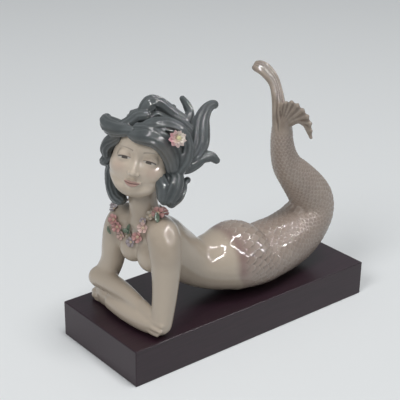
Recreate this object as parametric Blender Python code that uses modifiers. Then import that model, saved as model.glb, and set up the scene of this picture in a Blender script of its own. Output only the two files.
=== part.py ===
"""A glazed porcelain mermaid on a plain wooden plinth.

She lies on her front with her forearms folded one on the other, her chest and head raised,
and her tail curling up behind her to an open fluke. A garland of hand-made flowers lies
round her neck and a lily sits in her hair.

The origin is the centre of the plinth's underside. +X runs from her head to her tail,
+Y is her right-hand side, and +Z is up. Points of the figure are in millimetres, measured
from the centre of the plinth's top face; make_mesh() turns them into metres.
"""

import math

import bmesh
import bpy
import numpy as np
from mathutils import Matrix, Vector
from mathutils.bvhtree import BVHTree

MM = 0.001

# Plinth
PLINTH_LENGTH = 280.0
PLINTH_WIDTH = 114.0
PLINTH_HEIGHT = 35.0
PLINTH_EDGE_ROUND = 0.9

# The figure's height over the plinth. Its points below are drawn for the second height and
# scaled to the first.
FIGURE_HEIGHT = 204.0
DRAWN_HEIGHT = 204.0

# Clear space where one piece rests on another
SEAT_GAP = 0.3
SEAT_ROUNDS = 3

# The cast figure's surface: voxel size, number of triangles, and how many rounds of
# softening the joined shapes get
CAST_GRAIN = 1.5
CAST_FACE_COUNT = 9000
BODY_SOFT_ROUNDS = 16
HEAD_SOFT_ROUNDS = 6
CAST_SOFT_ROUNDS = 2

# Lofted tubes: points round, rings to a span, and the rings that round off an end
TUBE_SIDES = 28
TUBE_STEPS = 5
TUBE_END_ANGLES = (72, 50, 25)
TUBE_END_LENGTH = 0.9
BALL_SIDES = 32
BALL_RINGS = 20

# Trunk and tail, from the top of the chest to the fluke's root:
# x, y, z, half width across her, half depth through her
TRUNK = [
    (-96, -8, 94, 20, 12),
    (-89, -8, 84, 29, 19),
    (-79, -8, 71, 30, 24),
    (-62, -9, 55, 26, 23),
    (-43, -11, 39, 23, 22),
    (-22, -14, 34, 27, 27.5),
    (2, -17, 34, 33, 33.5),
    (25, -17, 26.5, 33, 27.5),
    (45, -16.5, 27, 30, 28.5),
    (65, -16, 28.5, 27, 29),
    (83, -15, 33, 25, 29),
    (95, -15, 41, 24, 27),
    (104, -15, 52, 22.5, 24.5),
    (104.5, -15, 65, 21.5, 21.5),
    (96, -15, 78, 20, 20),
    (83, -15, 93, 17.5, 17.5),
    (70.5, -15, 107, 14.6, 14.6),
    (64, -15, 121, 12.4, 12.4),
    (61, -15, 135, 11, 10.8),
    (60.5, -15, 147, 11, 9),
    (60, -14, 158, 12, 5),
]

# Neck and arms: x, y, z, radius
NECK = [(-88, -8, 86, 18), (-93, -8, 100, 14), (-95, -7, 116, 12.6), (-92, -5, 134, 13)]
LEFT_UPPER_ARM = [
    (-88, -22, 88, 14), (-94, -35, 88, 15), (-98, -43, 78, 14.3), (-98.5, -45, 60, 12.8),
    (-101, -46, 35, 11), (-105, -46.3, 10, 9.8),
]
LEFT_FOREARM = [
    (-105, -46.3, 10, 9.8), (-110, -32, 9.5, 10.5), (-113, -8, 9.5, 10), (-114, 16, 9, 8),
]
RIGHT_UPPER_ARM = [
    (-92, 4, 90, 13), (-98, 15, 89, 13.5), (-102, 21, 80, 12.8), (-103, 26, 62, 11.6),
    (-102.5, 30, 44, 11), (-105.5, 35, 29, 11),
]
RIGHT_FOREARM = [
    (-112.5, 39, 25, 10.2), (-111.5, 22, 25.5, 9.4), (-110.5, 2, 24.5, 8.2),
    (-110, -14, 22.5, 7), (-110, -24, 20.5, 6.4),
]

# Hands: palms and fingers, x, y, z, radius
RIGHT_PALM = [(-110, -24, 20.5, 7.5, 5), (-111, -33, 17.5, 9, 4.6), (-112, -39, 15, 9, 4)]
LEFT_PALM = [(-114, 16, 9, 7, 5), (-114, 28, 8.5, 8.5, 4.6), (-113, 36, 8, 8.5, 4)]
FINGER_RADIUS = 2.7
FINGER_TAPER = (1.0, 0.95, 0.8)
RIGHT_FINGERS = [
    [(-110, -36, 21), (-109.5, -44.5, 20.5), (-107.5, -52, 19)],
    [(-112, -37, 17), (-112, -46.5, 15.5), (-109.5, -54, 13.5)],
    [(-113.5, -36.5, 12.5), (-114, -45.5, 10.5), (-111, -53.5, 8.5)],
    [(-114, -35.5, 8.5), (-114.5, -43, 6), (-112, -50, 4)],
]
LEFT_FINGERS = [
    [(-113, 35, 14), (-112, 42, 12.5), (-110, 46, 8)],
    [(-114, 35, 10), (-114, 44, 8.5), (-112, 48.5, 5)],
    [(-115, 34, 6.5), (-115.5, 42, 5), (-113.5, 46, 3)],
    [(-114, 33, 3.5), (-115, 39, 3), (-113, 43, 2.5)],
]

# Head: place of its middle, its size, and how it turns, lifts and leans
HEAD_CENTRE = (-94.5, -5.5, 153.5)
HEAD_TURN = 43.0
HEAD_LIFT = 13.0
HEAD_LEAN = 10.0

# Fluke: both lobes are fans of ribs that spring from its root. The near lobe's ribs end
# along its edge and arch over towards the tip; the far lobe's ribs run side by side.
FLUKE_ROOT = (61, -15, 148)
NEAR_EDGE = [(59, -16.5, 171), (59, -21.5, 174), (60, -28.5, 176), (60.5, -36.5, 174),
             (61.5, -43.5, 169.5), (63, -48, 163), (63.5, -50, 155), (64, -50, 147.5)]
NEAR_RIBS = 9
NEAR_ARCH = 15.0
NEAR_ARCH_FORWARD = 3.0
FAR_LOBE = [(60, -14, 150, 4.5, -3.6, 0), (57.8, -13.2, 164, 3.8, -2.2, 0),
            (59.5, -8, 177.5, 4.9, 1.0, 0.5), (62.8, 1.5, 189, 6.4, 4.2, 0.9),
            (61.4, 11.3, 197, 7.2, 5.0, 1.0), (57.4, 17.3, 200.5, 6.2, 4.4, 0.8)]
FAR_RIBS = 6
RIB_RADIUS = 2.8
RIB_ROOT_SWELL = 1.5
RIB_MIDDLE_SWELL = 1.15
RIB_TAPER = 0.3
RIM_RADIUS = 2.5
RIM_INSET = 0.02
WEB_SHARE = 0.75

# Locks of hair: x, y, z, half width, half thickness. The first word says which way the
# lock's broad face looks: out from the head, or to the side she is seen from.
LOCKS = {
    "crest": ("side", [
        (-90, -1.5, 180.5, 5, 4.5), (-85, 4, 187, 6.5, 6), (-77, 5.5, 193.5, 8, 7),
        (-69, 4, 191.5, 7.5, 6.5), (-61.5, 0.5, 185.5, 7, 6.5), (-55, -3, 179, 7, 6),
        (-48, -6, 175, 6.5, 6), (-41, -3.5, 179.5, 4.5, 4.5), (-40, 2, 186, 4, 4),
        (-40.5, 7.5, 190.5, 3, 3)]),
    "swirl": ("side", [
        (-84, 2, 182, 7, 6), (-72, 4, 183.5, 8, 7), (-62.5, -0.5, 179, 8, 7), (-56, -6, 174, 8, 7),
        (-51, -13, 168.5, 7, 6)]),
    "wave": ("out", [
        (-101.5, -13, 179.5, 6, 4), (-94, -17, 183.5, 8, 5), (-85, -21.5, 184.5, 8.5, 5.5),
        (-75.5, -25.5, 181, 8.5, 6), (-67, -28, 173, 8.5, 6), (-65.5, -30, 162, 8.5, 6.5),
        (-69.5, -32.5, 152, 9, 7), (-76, -32, 143.5, 8, 6)]),
    "plume": ("side", [
        (-65.5, -27, 153, 9, 8), (-56.5, -28, 154, 9, 7.5), (-48, -25.5, 160.5, 9, 6.5),
        (-42, -20, 168.5, 8.5, 6), (-36, -14.5, 177, 7, 5), (-29, -11.5, 183, 5.5, 5),
        (-23.5, -11.5, 186, 4.5, 4.5), (-19.5, -11.5, 186, 4, 4)]),
    "flick": ("side", [
        (-73.5, -26, 147.5, 9, 7.5), (-64.5, -29, 145.5, 8.5, 7.5), (-55.5, -30, 147, 7.5, 6),
        (-48.5, -31.5, 149.5, 6, 5.5), (-41.5, -34.5, 149, 5, 4.5), (-37.5, -37, 145.5, 3.5, 3.5)]),
    "curl": ("side", [
        (-86.5, -35, 118.5, 6, 5), (-79, -36, 121.5, 5, 5), (-72, -34, 125.5, 3.5, 3.5),
        (-68.5, -31.5, 130.5, 3, 3), (-64.5, -31, 132, 3, 3)]),
    "fringe": ("out", [
        (-110.5, -12.5, 178, 4, 3), (-108, -19, 178, 7, 4.5), (-103.5, -24, 178, 8.5, 5.5),
        (-97, -28, 175, 8.5, 6), (-90.5, -30.5, 168, 8, 6), (-85, -31.5, 158, 7.5, 6),
        (-82.5, -32.5, 148, 7, 5.5)]),
    "under": ("out", [
        (-103, -11, 181, 7, 5), (-97.5, -19, 180.5, 8, 6), (-89, -24.5, 175.5, 9, 7),
        (-81, -27.5, 166, 9, 7), (-78, -30.5, 155.5, 9, 7), (-78.5, -31, 146.5, 8, 6)]),
    "nape": ("out", [
        (-79.5, -28, 145.5, 8, 7), (-79, -32, 138.5, 9, 8), (-83, -34, 130, 11, 9),
        (-87, -34.5, 123, 9, 8)]),
    "nape2": ("out", [
        (-91, -27, 141, 7, 6), (-90.5, -31.5, 133, 8, 7), (-90.5, -33, 125.5, 8, 7),
        (-89.5, -33.5, 121.5, 7, 6)]),
    "left1": ("out", [
        (-108.5, -10, 180, 5, 4), (-112, -4.5, 180, 7, 5), (-114, 3.5, 179, 7.5, 5.5),
        (-115, 13, 179.5, 7, 5.5), (-113.5, 20.5, 182, 5.5, 5), (-109.5, 23.5, 183, 4, 4)]),
    "left2": ("out", [
        (-88.5, -2.5, 187, 7, 6), (-95, 1.5, 186, 7.5, 6), (-102.5, 3, 182, 7, 5.5),
        (-108.5, 6.5, 179.5, 7, 5.5), (-110, 15, 180, 6.5, 5.5), (-110, 22.5, 180.5, 5, 5)]),
    "left3": ("out", [
        (-113, 3, 172, 6, 5), (-115, 10.5, 166.5, 7, 6), (-117, 14, 160, 6.5, 6),
        (-117, 14, 155, 5, 5)]),
    "left4": ("out", [
        (-112, 13.5, 152, 6, 5), (-115.5, 17, 148.5, 5.5, 5), (-116.5, 19.5, 146, 4.5, 4.5)]),
    "left5": ("out", [
        (-110.5, 15, 142, 7, 6), (-112.5, 16, 136, 5.5, 5), (-113.5, 13, 128.5, 6, 6),
        (-115.5, 8, 122.5, 6, 6), (-116, 3, 117.5, 6, 5.5), (-114.5, 0.5, 115.5, 5, 5)]),
    "left6": ("out", [
        (-106, 16.5, 136, 8, 7), (-108, 12.5, 125.5, 8, 7), (-110.5, 7.5, 118.5, 8, 7),
        (-111, 3, 114.5, 6, 6)]),
    "far1": ("out", [
        (-90, 8, 184, 9, 7), (-72, 22, 178, 10, 7), (-55, 28, 170, 8, 6), (-42, 29, 171, 5, 4.5),
        (-36, 27, 176, 3.5, 3.5)]),
    "far2": ("out", [
        (-86, 20, 172, 9, 7), (-72, 32, 160, 9, 7), (-58, 36, 150, 7, 6), (-47, 38, 150, 4.5, 4.5)]),
    "far3": ("out", [
        (-98, 22, 164, 9, 7), (-92, 32, 148, 9, 7), (-84, 34, 134, 8, 7), (-80, 28, 121, 6, 6)]),
    "back1": ("out", [
        (-62, -4, 172, 10, 7), (-54, 0, 156, 10, 7), (-54, 2, 140, 9, 7), (-58, 0, 127, 7, 6),
        (-56, -4, 118, 4.5, 4.5)]),
    "back2": ("out", [
        (-62, 14, 168, 10, 7), (-56, 20, 152, 9, 7), (-60, 22, 136, 8, 7), (-68, 18, 123, 6, 6)]),
}
HAIR_MASS = [
    ((0, -8, 7), (28.5, 26.5, 26.5)),
    ((0, -19, -12), (23, 14, 20)),
    ((-2, -17, -30), (19, 12, 12)),
]
SIDE_FACING = (-0.55, -0.75, 0.35)

# Soft forms of the chest: centre, radii
CHEST = [((-98, 2, 67), (13.5, 13, 15.5)), ((-95, -20.5, 65), (14, 13.5, 16))]

# Skull, face, jaw and cheeks in head space: centre, radii
HEAD_SHAPES = [
    ((0, -5, 6), (26, 27, 25)),
    ((0, 3, -4), (24.5, 21, 27)),
    ((0, 12, -23.5), (10, 9.5, 8.5)),
    ((0, 9, 11), (20, 14, 14)),
    ((14, 6, -9), (11, 14, 12.5)),
    ((-14, 6, -9), (11, 14, 12.5)),
]
JAW = [
    (21, 0, -8, 5), (17.5, 5, -17, 6.5), (9.5, 11, -25, 7), (0, 13, -27, 7.5),
    (-9.5, 11, -25, 7), (-17.5, 5, -17, 6.5), (-21, 0, -8, 5),
]

# Soft swellings and hollows of the face in head space: x, z, spread in x, spread in z, height
FACE_RELIEF = [
    (0, 9, 12, 5, 0.6),
    (9.5, 1, 6.5, 4.5, -3.6),
    (-9.5, 1, 6.5, 4.5, -3.6),
    (0, 0, 3.0, 7, 2.6),
    (0, -9, 3.6, 5, 4.6),
    (12, -9, 6, 6, 1.2),
    (-12, -9, 6, 6, 1.2),
    (0, -20, 8, 5.5, 2.0),
    (0, -25.2, 7, 1.8, -1.2),
    (0, -29, 6, 4, 1.4),
]
FACE_RELIEF_START = 6.0
FACE_RELIEF_FADE = 10.0
EYE = ((10.6, 15.6, 0.2), 7.4)
NOSE_SHAPES = [
    ((0, 27.2, -11.2), (3.1, 3.4, 2.9)),
    ((3.5, 25, -12.2), (2.1, 2.7, 2.1)),
    ((-3.5, 25, -12.2), (2.1, 2.7, 2.1)),
]
UPPER_LIP = [
    (7.8, 21.6, -20.2, 0.7), (4.2, 23.6, -19.3, 1.3), (1.5, 24.5, -18.7, 1.6),
    (0, 24.5, -18.9, 1.5), (-1.5, 24.5, -18.7, 1.6), (-4.2, 23.6, -19.3, 1.3),
    (-7.8, 21.6, -20.2, 0.7),
]
LOWER_LIP = [
    (6.6, 21.8, -20.6, 0.7), (3.5, 23.4, -21.8, 1.5), (0, 24.0, -22.2, 1.8),
    (-3.5, 23.4, -21.8, 1.5), (-6.6, 21.8, -20.6, 0.7),
]
EAR = [
    (23.5, -3, 3, 2), (24.5, -7, 4, 2.2), (24.5, -9, 0, 2.3), (23.5, -7, -5, 2.2),
    (22, -3, -9, 2.4), (21.5, -1, -7, 2),
]

# Garland flowers in the order they are laid: kind, place, way it faces, radius, spin.
# They are set down from outside the hair in front and from under it behind.
FLOWER_FORM = (0.62, 0.42, 0.55)
FRONT_START = 14.0
BACK_START = 7.0
FLOWER_PETALS = 5
GARLAND = [
    ("cream", (-94, -21, 107), (-0.5, -0.75, 0.5), 3.4, 0),
    ("cream", (-97.5, -21.4, 102.8), (-0.5, -0.6, 0.6), 4.4, 20),
    ("lilac", (-102.8, -19, 98.8), (-0.75, -0.4, 0.5), 3.4, 50),
    ("cream", (-107, -2, 81), (-0.85, -0.2, 0.5), 3.2, 10),
    ("lilac", (-108.5, -6.5, 75.6), (-0.9, -0.35, 0.2), 4.8, 30),
    ("blush", (-107.5, 8, 77), (-0.9, -0.3, 0.2), 4.4, 0),
    ("lilac", (-106, 19, 97), (-0.6, 0.1, 0.75), 4.2, 15),
    ("lilac", (-103, 24.5, 99), (-0.4, 0.4, 0.8), 4.4, 40),
    ("rose", (-94, -27, 107), (-0.45, -0.75, 0.45), 5.8, 10),
    ("blush", (-104.4, -21.5, 94), (-0.8, -0.5, 0.35), 5.2, 35),
    ("rose", (-105.5, -14, 83), (-0.9, -0.4, 0.2), 5.4, 0),
    ("rose", (-109.7, 10, 85), (-0.85, -0.45, 0.3), 5.0, 25),
    ("rose", (-111.2, 13, 91), (-0.85, -0.2, 0.45), 5.2, 50),
]
BACK_GARLAND = [
    ("rose", (-84, -22, 104), (0.1, -0.6, 0.8), 5.0, 10),
    ("cream", (-76, -8, 100), (0.5, 0, 0.85), 5.0, 40),
    ("lilac", (-82, 12, 101), (0.2, 0.5, 0.8), 5.0, 0),
    ("rose", (-93, 24, 102), (-0.1, 0.5, 0.85), 5.0, 30),
]
FLOWER_COLOURS = {
    "rose": (0.68, 0.32, 0.32),
    "blush": (0.72, 0.5, 0.47),
    "lilac": (0.55, 0.47, 0.5),
    "cream": (0.62, 0.56, 0.46),
}

# Leaves tucked between the flowers: share of the length across, how far they curl up,
# thickness at the sides and in the middle, half outline from stalk to tip, then the leaves:
# place, way the face looks, length, spin
LEAF_WIDTH = 0.48
LEAF_CURL = 0.12
LEAF_THICK = 0.8
LEAF_RIDGE = 1.15
LEAF_KEEL = 0.15
LEAF_OUTLINE = [(0.0, 0.12), (0.22, 0.75), (0.5, 1.0), (0.78, 0.62), (1.0, 0.06)]
LEAF_COLOUR = (0.1, 0.14, 0.09)
LEAVES = [
    ((-95, -27, 101), (-0.4, -0.6, 0.7), 9.0, 60),
    ((-106, -5, 87), (-0.9, 0.0, 0.4), 9.0, 10),
    ((-105, -2, 84), (-0.9, -0.2, 0.4), 8.0, -70),
    ((-108, 14, 80), (-0.9, 0.2, 0.2), 8.0, 40),
]

# Lily in the hair: node, petals, radius, form, colour
HAIR_FLOWER_START = 16.0
HAIR_FLOWER_PLACE = (-79, -33.2, 172.4)
HAIR_FLOWER_FACES = (-0.3, -0.8, 0.5)
HAIR_FLOWER = [
    ("hair_flower_outer", 9, 9.6, (0.42, 0.5, 1.3), (0.72, 0.4, 0.42)),
    ("hair_flower_inner", 7, 6.6, (0.4, 0.9, 1.2), (0.8, 0.66, 0.6)),
    ("hair_flower_heart", 5, 2.4, (0.8, 0.6, 0.6), (0.72, 0.64, 0.32)),
]

PLINTH_COLOUR = (0.035, 0.012, 0.016)
PLINTH_ROUGHNESS = 0.35
PORCELAIN_COLOUR = (0.42, 0.35, 0.28)
PORCELAIN_ROUGHNESS = 0.2
PETAL_ROUGHNESS = 0.35
PETAL_GLAZE = 0.5


def reset_scene():
    for obj in list(bpy.data.objects):
        bpy.data.objects.remove(obj, do_unlink=True)


def smooth_rows(rows, steps):
    """Rows of numbers joined by a Catmull-Rom spline, with that many steps to each span."""
    p = np.array(rows, float)
    p = np.vstack([2 * p[0] - p[1], p, 2 * p[-1] - p[-2]])
    out = []
    for a, b, c, d in zip(p, p[1:], p[2:], p[3:]):
        for t in np.arange(steps) / steps:
            bend = (2 * a - 5 * b + 4 * c - d) * t ** 2 + (3 * b - a - 3 * c + d) * t ** 3
            out.append(0.5 * (2 * b + (c - a) * t + bend))
    return np.array(out + [p[-2]])


def make_mesh(name, points, faces):
    """A mesh from points drawn in millimetres over the plinth's top."""
    scaled = np.array(points, float) * FIGURE_HEIGHT / DRAWN_HEIGHT
    lifted = (scaled + (0, 0, PLINTH_HEIGHT)) * MM
    mesh = bpy.data.meshes.new(name)
    mesh.from_pydata(lifted.tolist(), [], faces)
    return mesh


def drawn_points(mesh):
    """A mesh's points as drawn, in millimetres over the plinth's top."""
    co = np.empty(len(mesh.vertices) * 3)
    mesh.vertices.foreach_get("co", co)
    return (co.reshape(-1, 3) / MM - (0, 0, PLINTH_HEIGHT)) * DRAWN_HEIGHT / FIGURE_HEIGHT


def unit(v):
    return v / np.linalg.norm(v, axis=-1, keepdims=True)


def loft(name, stations, side=None, facing=(0.3, 0.2, 0.9), about=None, steps=TUBE_STEPS):
    """A closed tube of elliptical sections. A station is x, y, z, half width and half
    thickness, or x, y, z and one radius. The width runs along the side direction, or square
    to the facing direction, or square to the line out from a point."""
    rows = [s if len(s) == 5 else (*s, s[3]) for s in stations]
    rows = smooth_rows(rows, steps)
    centre, half = rows[:, :3], rows[:, 3:]
    tangent = unit(np.gradient(centre, axis=0))
    if side is not None:
        across = np.tile(np.array(side, float), (len(rows), 1))
    elif about is not None:
        across = np.cross(tangent, centre - np.array(about))
    else:
        across = np.cross(tangent, np.array(facing))
    across = unit(across - tangent * np.sum(across * tangent, axis=1)[:, None])
    through = np.cross(tangent, across)
    first_end = -tangent[0] * half[0].min() * TUBE_END_LENGTH
    last_end = tangent[-1] * half[-1].min() * TUBE_END_LENGTH
    rings = []
    for angle in np.radians(TUBE_END_ANGLES):
        place = centre[0] + first_end * math.sin(angle)
        rings.append((place, across[0], through[0], half[0] * math.cos(angle)))
    rings += list(zip(centre, across, through, half))
    for angle in np.radians(TUBE_END_ANGLES[::-1]):
        place = centre[-1] + last_end * math.sin(angle)
        rings.append((place, across[-1], through[-1], half[-1] * math.cos(angle)))
    turn = np.arange(TUBE_SIDES) * 2 * math.pi / TUBE_SIDES
    points = []
    for c, u, v, h in rings:
        points.extend(c + np.outer(np.cos(turn) * h[0], u) + np.outer(np.sin(turn) * h[1], v))
    points += [centre[0] + first_end, centre[-1] + last_end]
    return make_mesh(name, points, tube_faces(len(rings), TUBE_SIDES))


def tube_faces(rings, sides):
    """The faces of a closed tube: quads between rings, and a fan to a last point at each end."""
    faces = []
    for i in range(rings - 1):
        for j in range(sides):
            k = (j + 1) % sides
            near, far = i * sides, (i + 1) * sides
            faces.append((near + j, near + k, far + k, far + j))
    start, end = rings * sides, rings * sides + 1
    last = (rings - 1) * sides
    for j in range(sides):
        k = (j + 1) % sides
        faces.append((start, k, j))
        faces.append((end, last + j, last + k))
    return faces


def ball(name, centre, radii, turn=Matrix()):
    """An ellipsoid, turned about its centre."""
    bm = bmesh.new()
    shape = Matrix.Translation(Vector(centre)) @ turn @ Matrix.Diagonal((*radii, 1))
    bmesh.ops.create_uvsphere(bm, u_segments=BALL_SIDES, v_segments=BALL_RINGS, radius=1, matrix=shape)
    points = [tuple(v.co) for v in bm.verts]
    faces = [tuple(v.index for v in f.verts) for f in bm.faces]
    bm.free()
    return make_mesh(name, points, faces)


def joined(name, meshes):
    """One object that holds all these meshes, still overlapping."""
    bm = bmesh.new()
    for mesh in meshes:
        bm.from_mesh(mesh)
        bpy.data.meshes.remove(mesh)
    mesh = bpy.data.meshes.new(name)
    bm.to_mesh(mesh)
    bm.free()
    obj = bpy.data.objects.new(name, mesh)
    bpy.context.scene.collection.objects.link(obj)
    return obj


def fused(name, meshes, rounds):
    """One skin over overlapping shapes, with its inner corners softened for some rounds."""
    obj = joined(name, meshes)
    remesh = obj.modifiers.new("union", "REMESH")
    remesh.mode = "VOXEL"
    remesh.voxel_size = CAST_GRAIN * MM
    soften = obj.modifiers.new("soften", "SMOOTH")
    soften.factor = 0.5
    soften.iterations = round(rounds)
    graph = bpy.context.evaluated_depsgraph_get()
    mesh = bpy.data.meshes.new_from_object(obj.evaluated_get(graph))
    bpy.data.objects.remove(obj)
    return mesh


def head_frame():
    """Head space: +X to her right, +Y the way she looks, +Z to her crown, in millimetres."""
    turn = Matrix.Rotation(math.radians(90 + HEAD_TURN), 4, "Z")
    lift = Matrix.Rotation(math.radians(HEAD_LIFT), 4, "X")
    lean = Matrix.Rotation(math.radians(-HEAD_LEAN), 4, "Y")
    return Matrix.Translation(Vector(HEAD_CENTRE)) @ turn @ lift @ lean


def head_balls(name, shapes):
    frame = head_frame()
    rotation = frame.to_3x3().to_4x4()
    return [ball(name, frame @ Vector(c), r, rotation) for c, r in shapes]


def head_tube(name, stations, **options):
    frame = head_frame()
    placed = [(*(frame @ Vector(s[:3])), *s[3:]) for s in stations]
    return loft(name, placed, **options)


def carve_face(mesh):
    """Push the front of the head out and in by the face relief."""
    frame = head_frame()
    inverse = np.array(frame.inverted())
    outward = np.array(frame.to_3x3() @ Vector((0, 1, 0)))
    points = drawn_points(mesh)
    x, y, z = (points @ inverse[:3, :3].T + inverse[:3, 3]).T
    push = np.zeros(len(points))
    for centre_x, centre_z, spread_x, spread_z, height in FACE_RELIEF:
        away = ((x - centre_x) / spread_x) ** 2 + ((z - centre_z) / spread_z) ** 2
        push += height * np.exp(-away)
    front = np.clip((y - FACE_RELIEF_START) / FACE_RELIEF_FADE, 0, 1)
    front = front * front * (3 - 2 * front)
    carved = make_mesh("head", points + np.outer(push * front, outward), [])
    for vertex, moved in zip(mesh.vertices, carved.vertices):
        vertex.co = moved.co
    bpy.data.meshes.remove(carved)
    mesh.update()


def head_core():
    core = head_balls("skull", HEAD_SHAPES) + [head_tube("jaw", JAW)]
    mesh = fused("head", core, HEAD_SOFT_ROUNDS)
    carve_face(mesh)
    return mesh


def face_details():
    parts = head_balls("nose", NOSE_SHAPES)
    parts += [head_tube("lip", UPPER_LIP), head_tube("lip", LOWER_LIP)]
    for s in (1, -1):
        (x, y, z), r = EYE
        parts += head_balls("eye", [((x * s, y, z), (r, r, r))])
        parts.append(head_tube("ear", [(p[0] * s, *p[1:]) for p in EAR]))
    return parts


def hands():
    parts = [loft("palm", RIGHT_PALM, side=(0.25, -0.3, 0.9)), loft("palm", LEFT_PALM, side=(0, 0.1, 1))]
    for finger in RIGHT_FINGERS + LEFT_FINGERS:
        parts.append(loft("finger", [(*p, FINGER_RADIUS * r) for p, r in zip(finger, FINGER_TAPER)]))
    return parts


def fluke():
    """Both lobes as ribs that melt into one another in the casting, the near one with a rim."""
    parts = []
    root = np.array(FLUKE_ROOT, float)
    edge = smooth_rows(NEAR_EDGE, 8)
    count = 2 * NEAR_RIBS - 1
    for i in range(count):
        t = i / (count - 1)
        swell = RIB_RADIUS * (WEB_SHARE if i % 2 else 1)
        end = edge[round(t * (len(edge) - 1))]
        arch = np.array((0, -NEAR_ARCH_FORWARD, NEAR_ARCH)) * t ** 4
        stations = [
            (*root, swell * RIB_ROOT_SWELL),
            (*((root + end) / 2 + arch), swell * RIB_MIDDLE_SWELL),
            (*end, swell * (1 - RIB_TAPER * t)),
        ]
        parts.append(loft("rib", stations))
    rim = edge + (root - edge) * RIM_INSET
    radii = np.linspace(1, 1 - RIB_TAPER, len(rim)) * RIM_RADIUS
    parts.append(loft("rim", [(*p, r) for p, r in zip(rim, radii)], steps=1))
    for i in range(FAR_RIBS):
        shift = 2 * i / (FAR_RIBS - 1) - 1
        stations = [(*(np.array(s[:3]) + shift * np.array(s[3:])), RIB_RADIUS) for s in FAR_LOBE]
        parts.append(loft("rib", stations))
    return parts


def hair():
    parts = []
    for name, (kind, stations) in LOCKS.items():
        if kind == "side":
            parts.append(loft(name, stations, facing=SIDE_FACING))
        else:
            parts.append(loft(name, stations, about=HEAD_CENTRE))
    return parts + head_balls("hair", HAIR_MASS)


def body_core():
    arms = [LEFT_UPPER_ARM, LEFT_FOREARM, RIGHT_UPPER_ARM, RIGHT_FOREARM, NECK]
    pieces = [loft("trunk", TRUNK, side=(0, 1, 0))]
    pieces += [loft("arm", arm) for arm in arms]
    pieces += [ball("chest", centre, radii) for centre, radii in CHEST]
    return fused("body", pieces, BODY_SOFT_ROUNDS)


def flower_mesh(petals, radius, waist, cup, point, steps=4):
    """One closed flower head: a flat foot, petals rising from it and a low button in the
    middle. The waist is the notch between petals as a share of the radius, the cup is how
    high the petals' ends stand, and the point sharpens their ends."""
    n = petals * steps
    turn = np.arange(n) * 2 * math.pi / n
    lobe = np.abs(np.cos(turn * petals / 2)) ** point
    rim = radius * (waist + (1 - waist) * lobe)
    wall = 0.09 * radius + 0.25
    rings = [
        (0.20 * radius + 0 * rim, 0 * rim),
        (0.50 * rim, cup * 0.30 * radius * lobe + 0.06 * radius),
        (rim, cup * radius * (0.55 + 0.45 * lobe)),
        (0.94 * rim, cup * radius * (0.55 + 0.45 * lobe) + wall),
        (0.55 * rim, cup * 0.36 * radius + wall),
        (0.24 * radius + 0 * rim, cup * 0.22 * radius + wall),
    ]
    points = []
    for r, z in rings:
        points.extend(np.stack([r * np.cos(turn), r * np.sin(turn), z + 0 * rim], axis=1))
    points.append((0, 0, 0))
    points.append((0, 0, cup * 0.22 * radius + wall + 0.16 * radius))
    faces = []
    for i in range(len(rings) - 1):
        for j in range(n):
            k = (j + 1) % n
            faces.append((i * n + j, i * n + k, (i + 1) * n + k, (i + 1) * n + j))
    last = (len(rings) - 1) * n
    for j in range(n):
        k = (j + 1) % n
        faces.append((len(rings) * n, k, j))
        faces.append((len(rings) * n + 1, last + j, last + k))
    return np.array(points), faces


def leaf_mesh(length):
    """A closed pointed leaf lying along +X with a raised middle."""
    points = []
    for t, share in LEAF_OUTLINE:
        half = length * LEAF_WIDTH / 2 * share
        lift = LEAF_CURL * length * t * t
        x = length * (t - 0.5)
        points += [(x, -half, lift), (x, 0, lift - LEAF_KEEL), (x, half, lift)]
        points += [(x, half * 0.9, lift + LEAF_THICK), (x, 0, lift + LEAF_RIDGE)]
        points += [(x, -half * 0.9, lift + LEAF_THICK)]
    faces = []
    for i in range(len(LEAF_OUTLINE) - 1):
        for j in range(6):
            k = (j + 1) % 6
            faces.append((i * 6 + j, i * 6 + k, (i + 1) * 6 + k, (i + 1) * 6 + j))
    end = (len(LEAF_OUTLINE) - 1) * 6
    faces.append((5, 4, 1, 0))
    faces.append((4, 3, 2, 1))
    faces.append((end, end + 1, end + 4, end + 5))
    faces.append((end + 1, end + 2, end + 3, end + 4))
    return np.array(points), faces


class Standing:
    """Everything placed so far, for the next piece to be set down on."""

    def __init__(self, points, faces):
        self.points = [Vector(p) for p in points]
        self.faces = [tuple(f) for f in faces]
        self.build()

    def build(self):
        self.tree = BVHTree.FromPolygons(self.points, self.faces)
        self.array = np.array([tuple(p) for p in self.points])

    def add(self, points, faces):
        base = len(self.points)
        self.points += [Vector(p) for p in points]
        self.faces += [tuple(base + i for i in f) for f in faces]
        self.build()

    def rest(self, points, faces, normal, place, spin, start):
        """Set a piece down along its own normal, leaving the seat gap under it."""
        gap = SEAT_GAP * DRAWN_HEIGHT / FIGURE_HEIGHT
        up = Vector(normal).normalized()
        upright = Vector((0, 0, 1)).rotation_difference(up).to_matrix()
        turn = upright @ Matrix.Rotation(math.radians(spin), 3, "Z")
        lifted = points @ np.array(turn).T + np.array(place) + np.array(up) * start
        shape = [Vector(p) for p in lifted]
        drops = [self.tree.ray_cast(p, -up)[3] for p in shape]
        own = BVHTree.FromPolygons(shape, faces)
        size = float(np.max(np.linalg.norm(points, axis=1)))
        near = np.linalg.norm(self.array - lifted.mean(axis=0), axis=1) < start + 2 * size
        drops += [own.ray_cast(Vector(p), up)[3] for p in self.array[near]]
        low = min(d for d in drops if d is not None)
        placed = lifted - np.array(up) * (low - gap)
        for _ in range(SEAT_ROUNDS):
            placed += np.array(up) * (gap - self.clearance(placed, faces, self.array[near]))
        while self.tree.overlap(BVHTree.FromPolygons([Vector(p) for p in placed], faces)):
            placed += np.array(up) * gap
        self.add(placed, faces)
        return placed

    def clearance(self, points, faces, others):
        """The least distance between a piece and what is near it."""
        own = BVHTree.FromPolygons([Vector(p) for p in points], faces)
        gaps = [self.tree.find_nearest(Vector(p))[3] for p in points]
        gaps += [own.find_nearest(Vector(p))[3] for p in others]
        return min(gaps)


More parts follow.
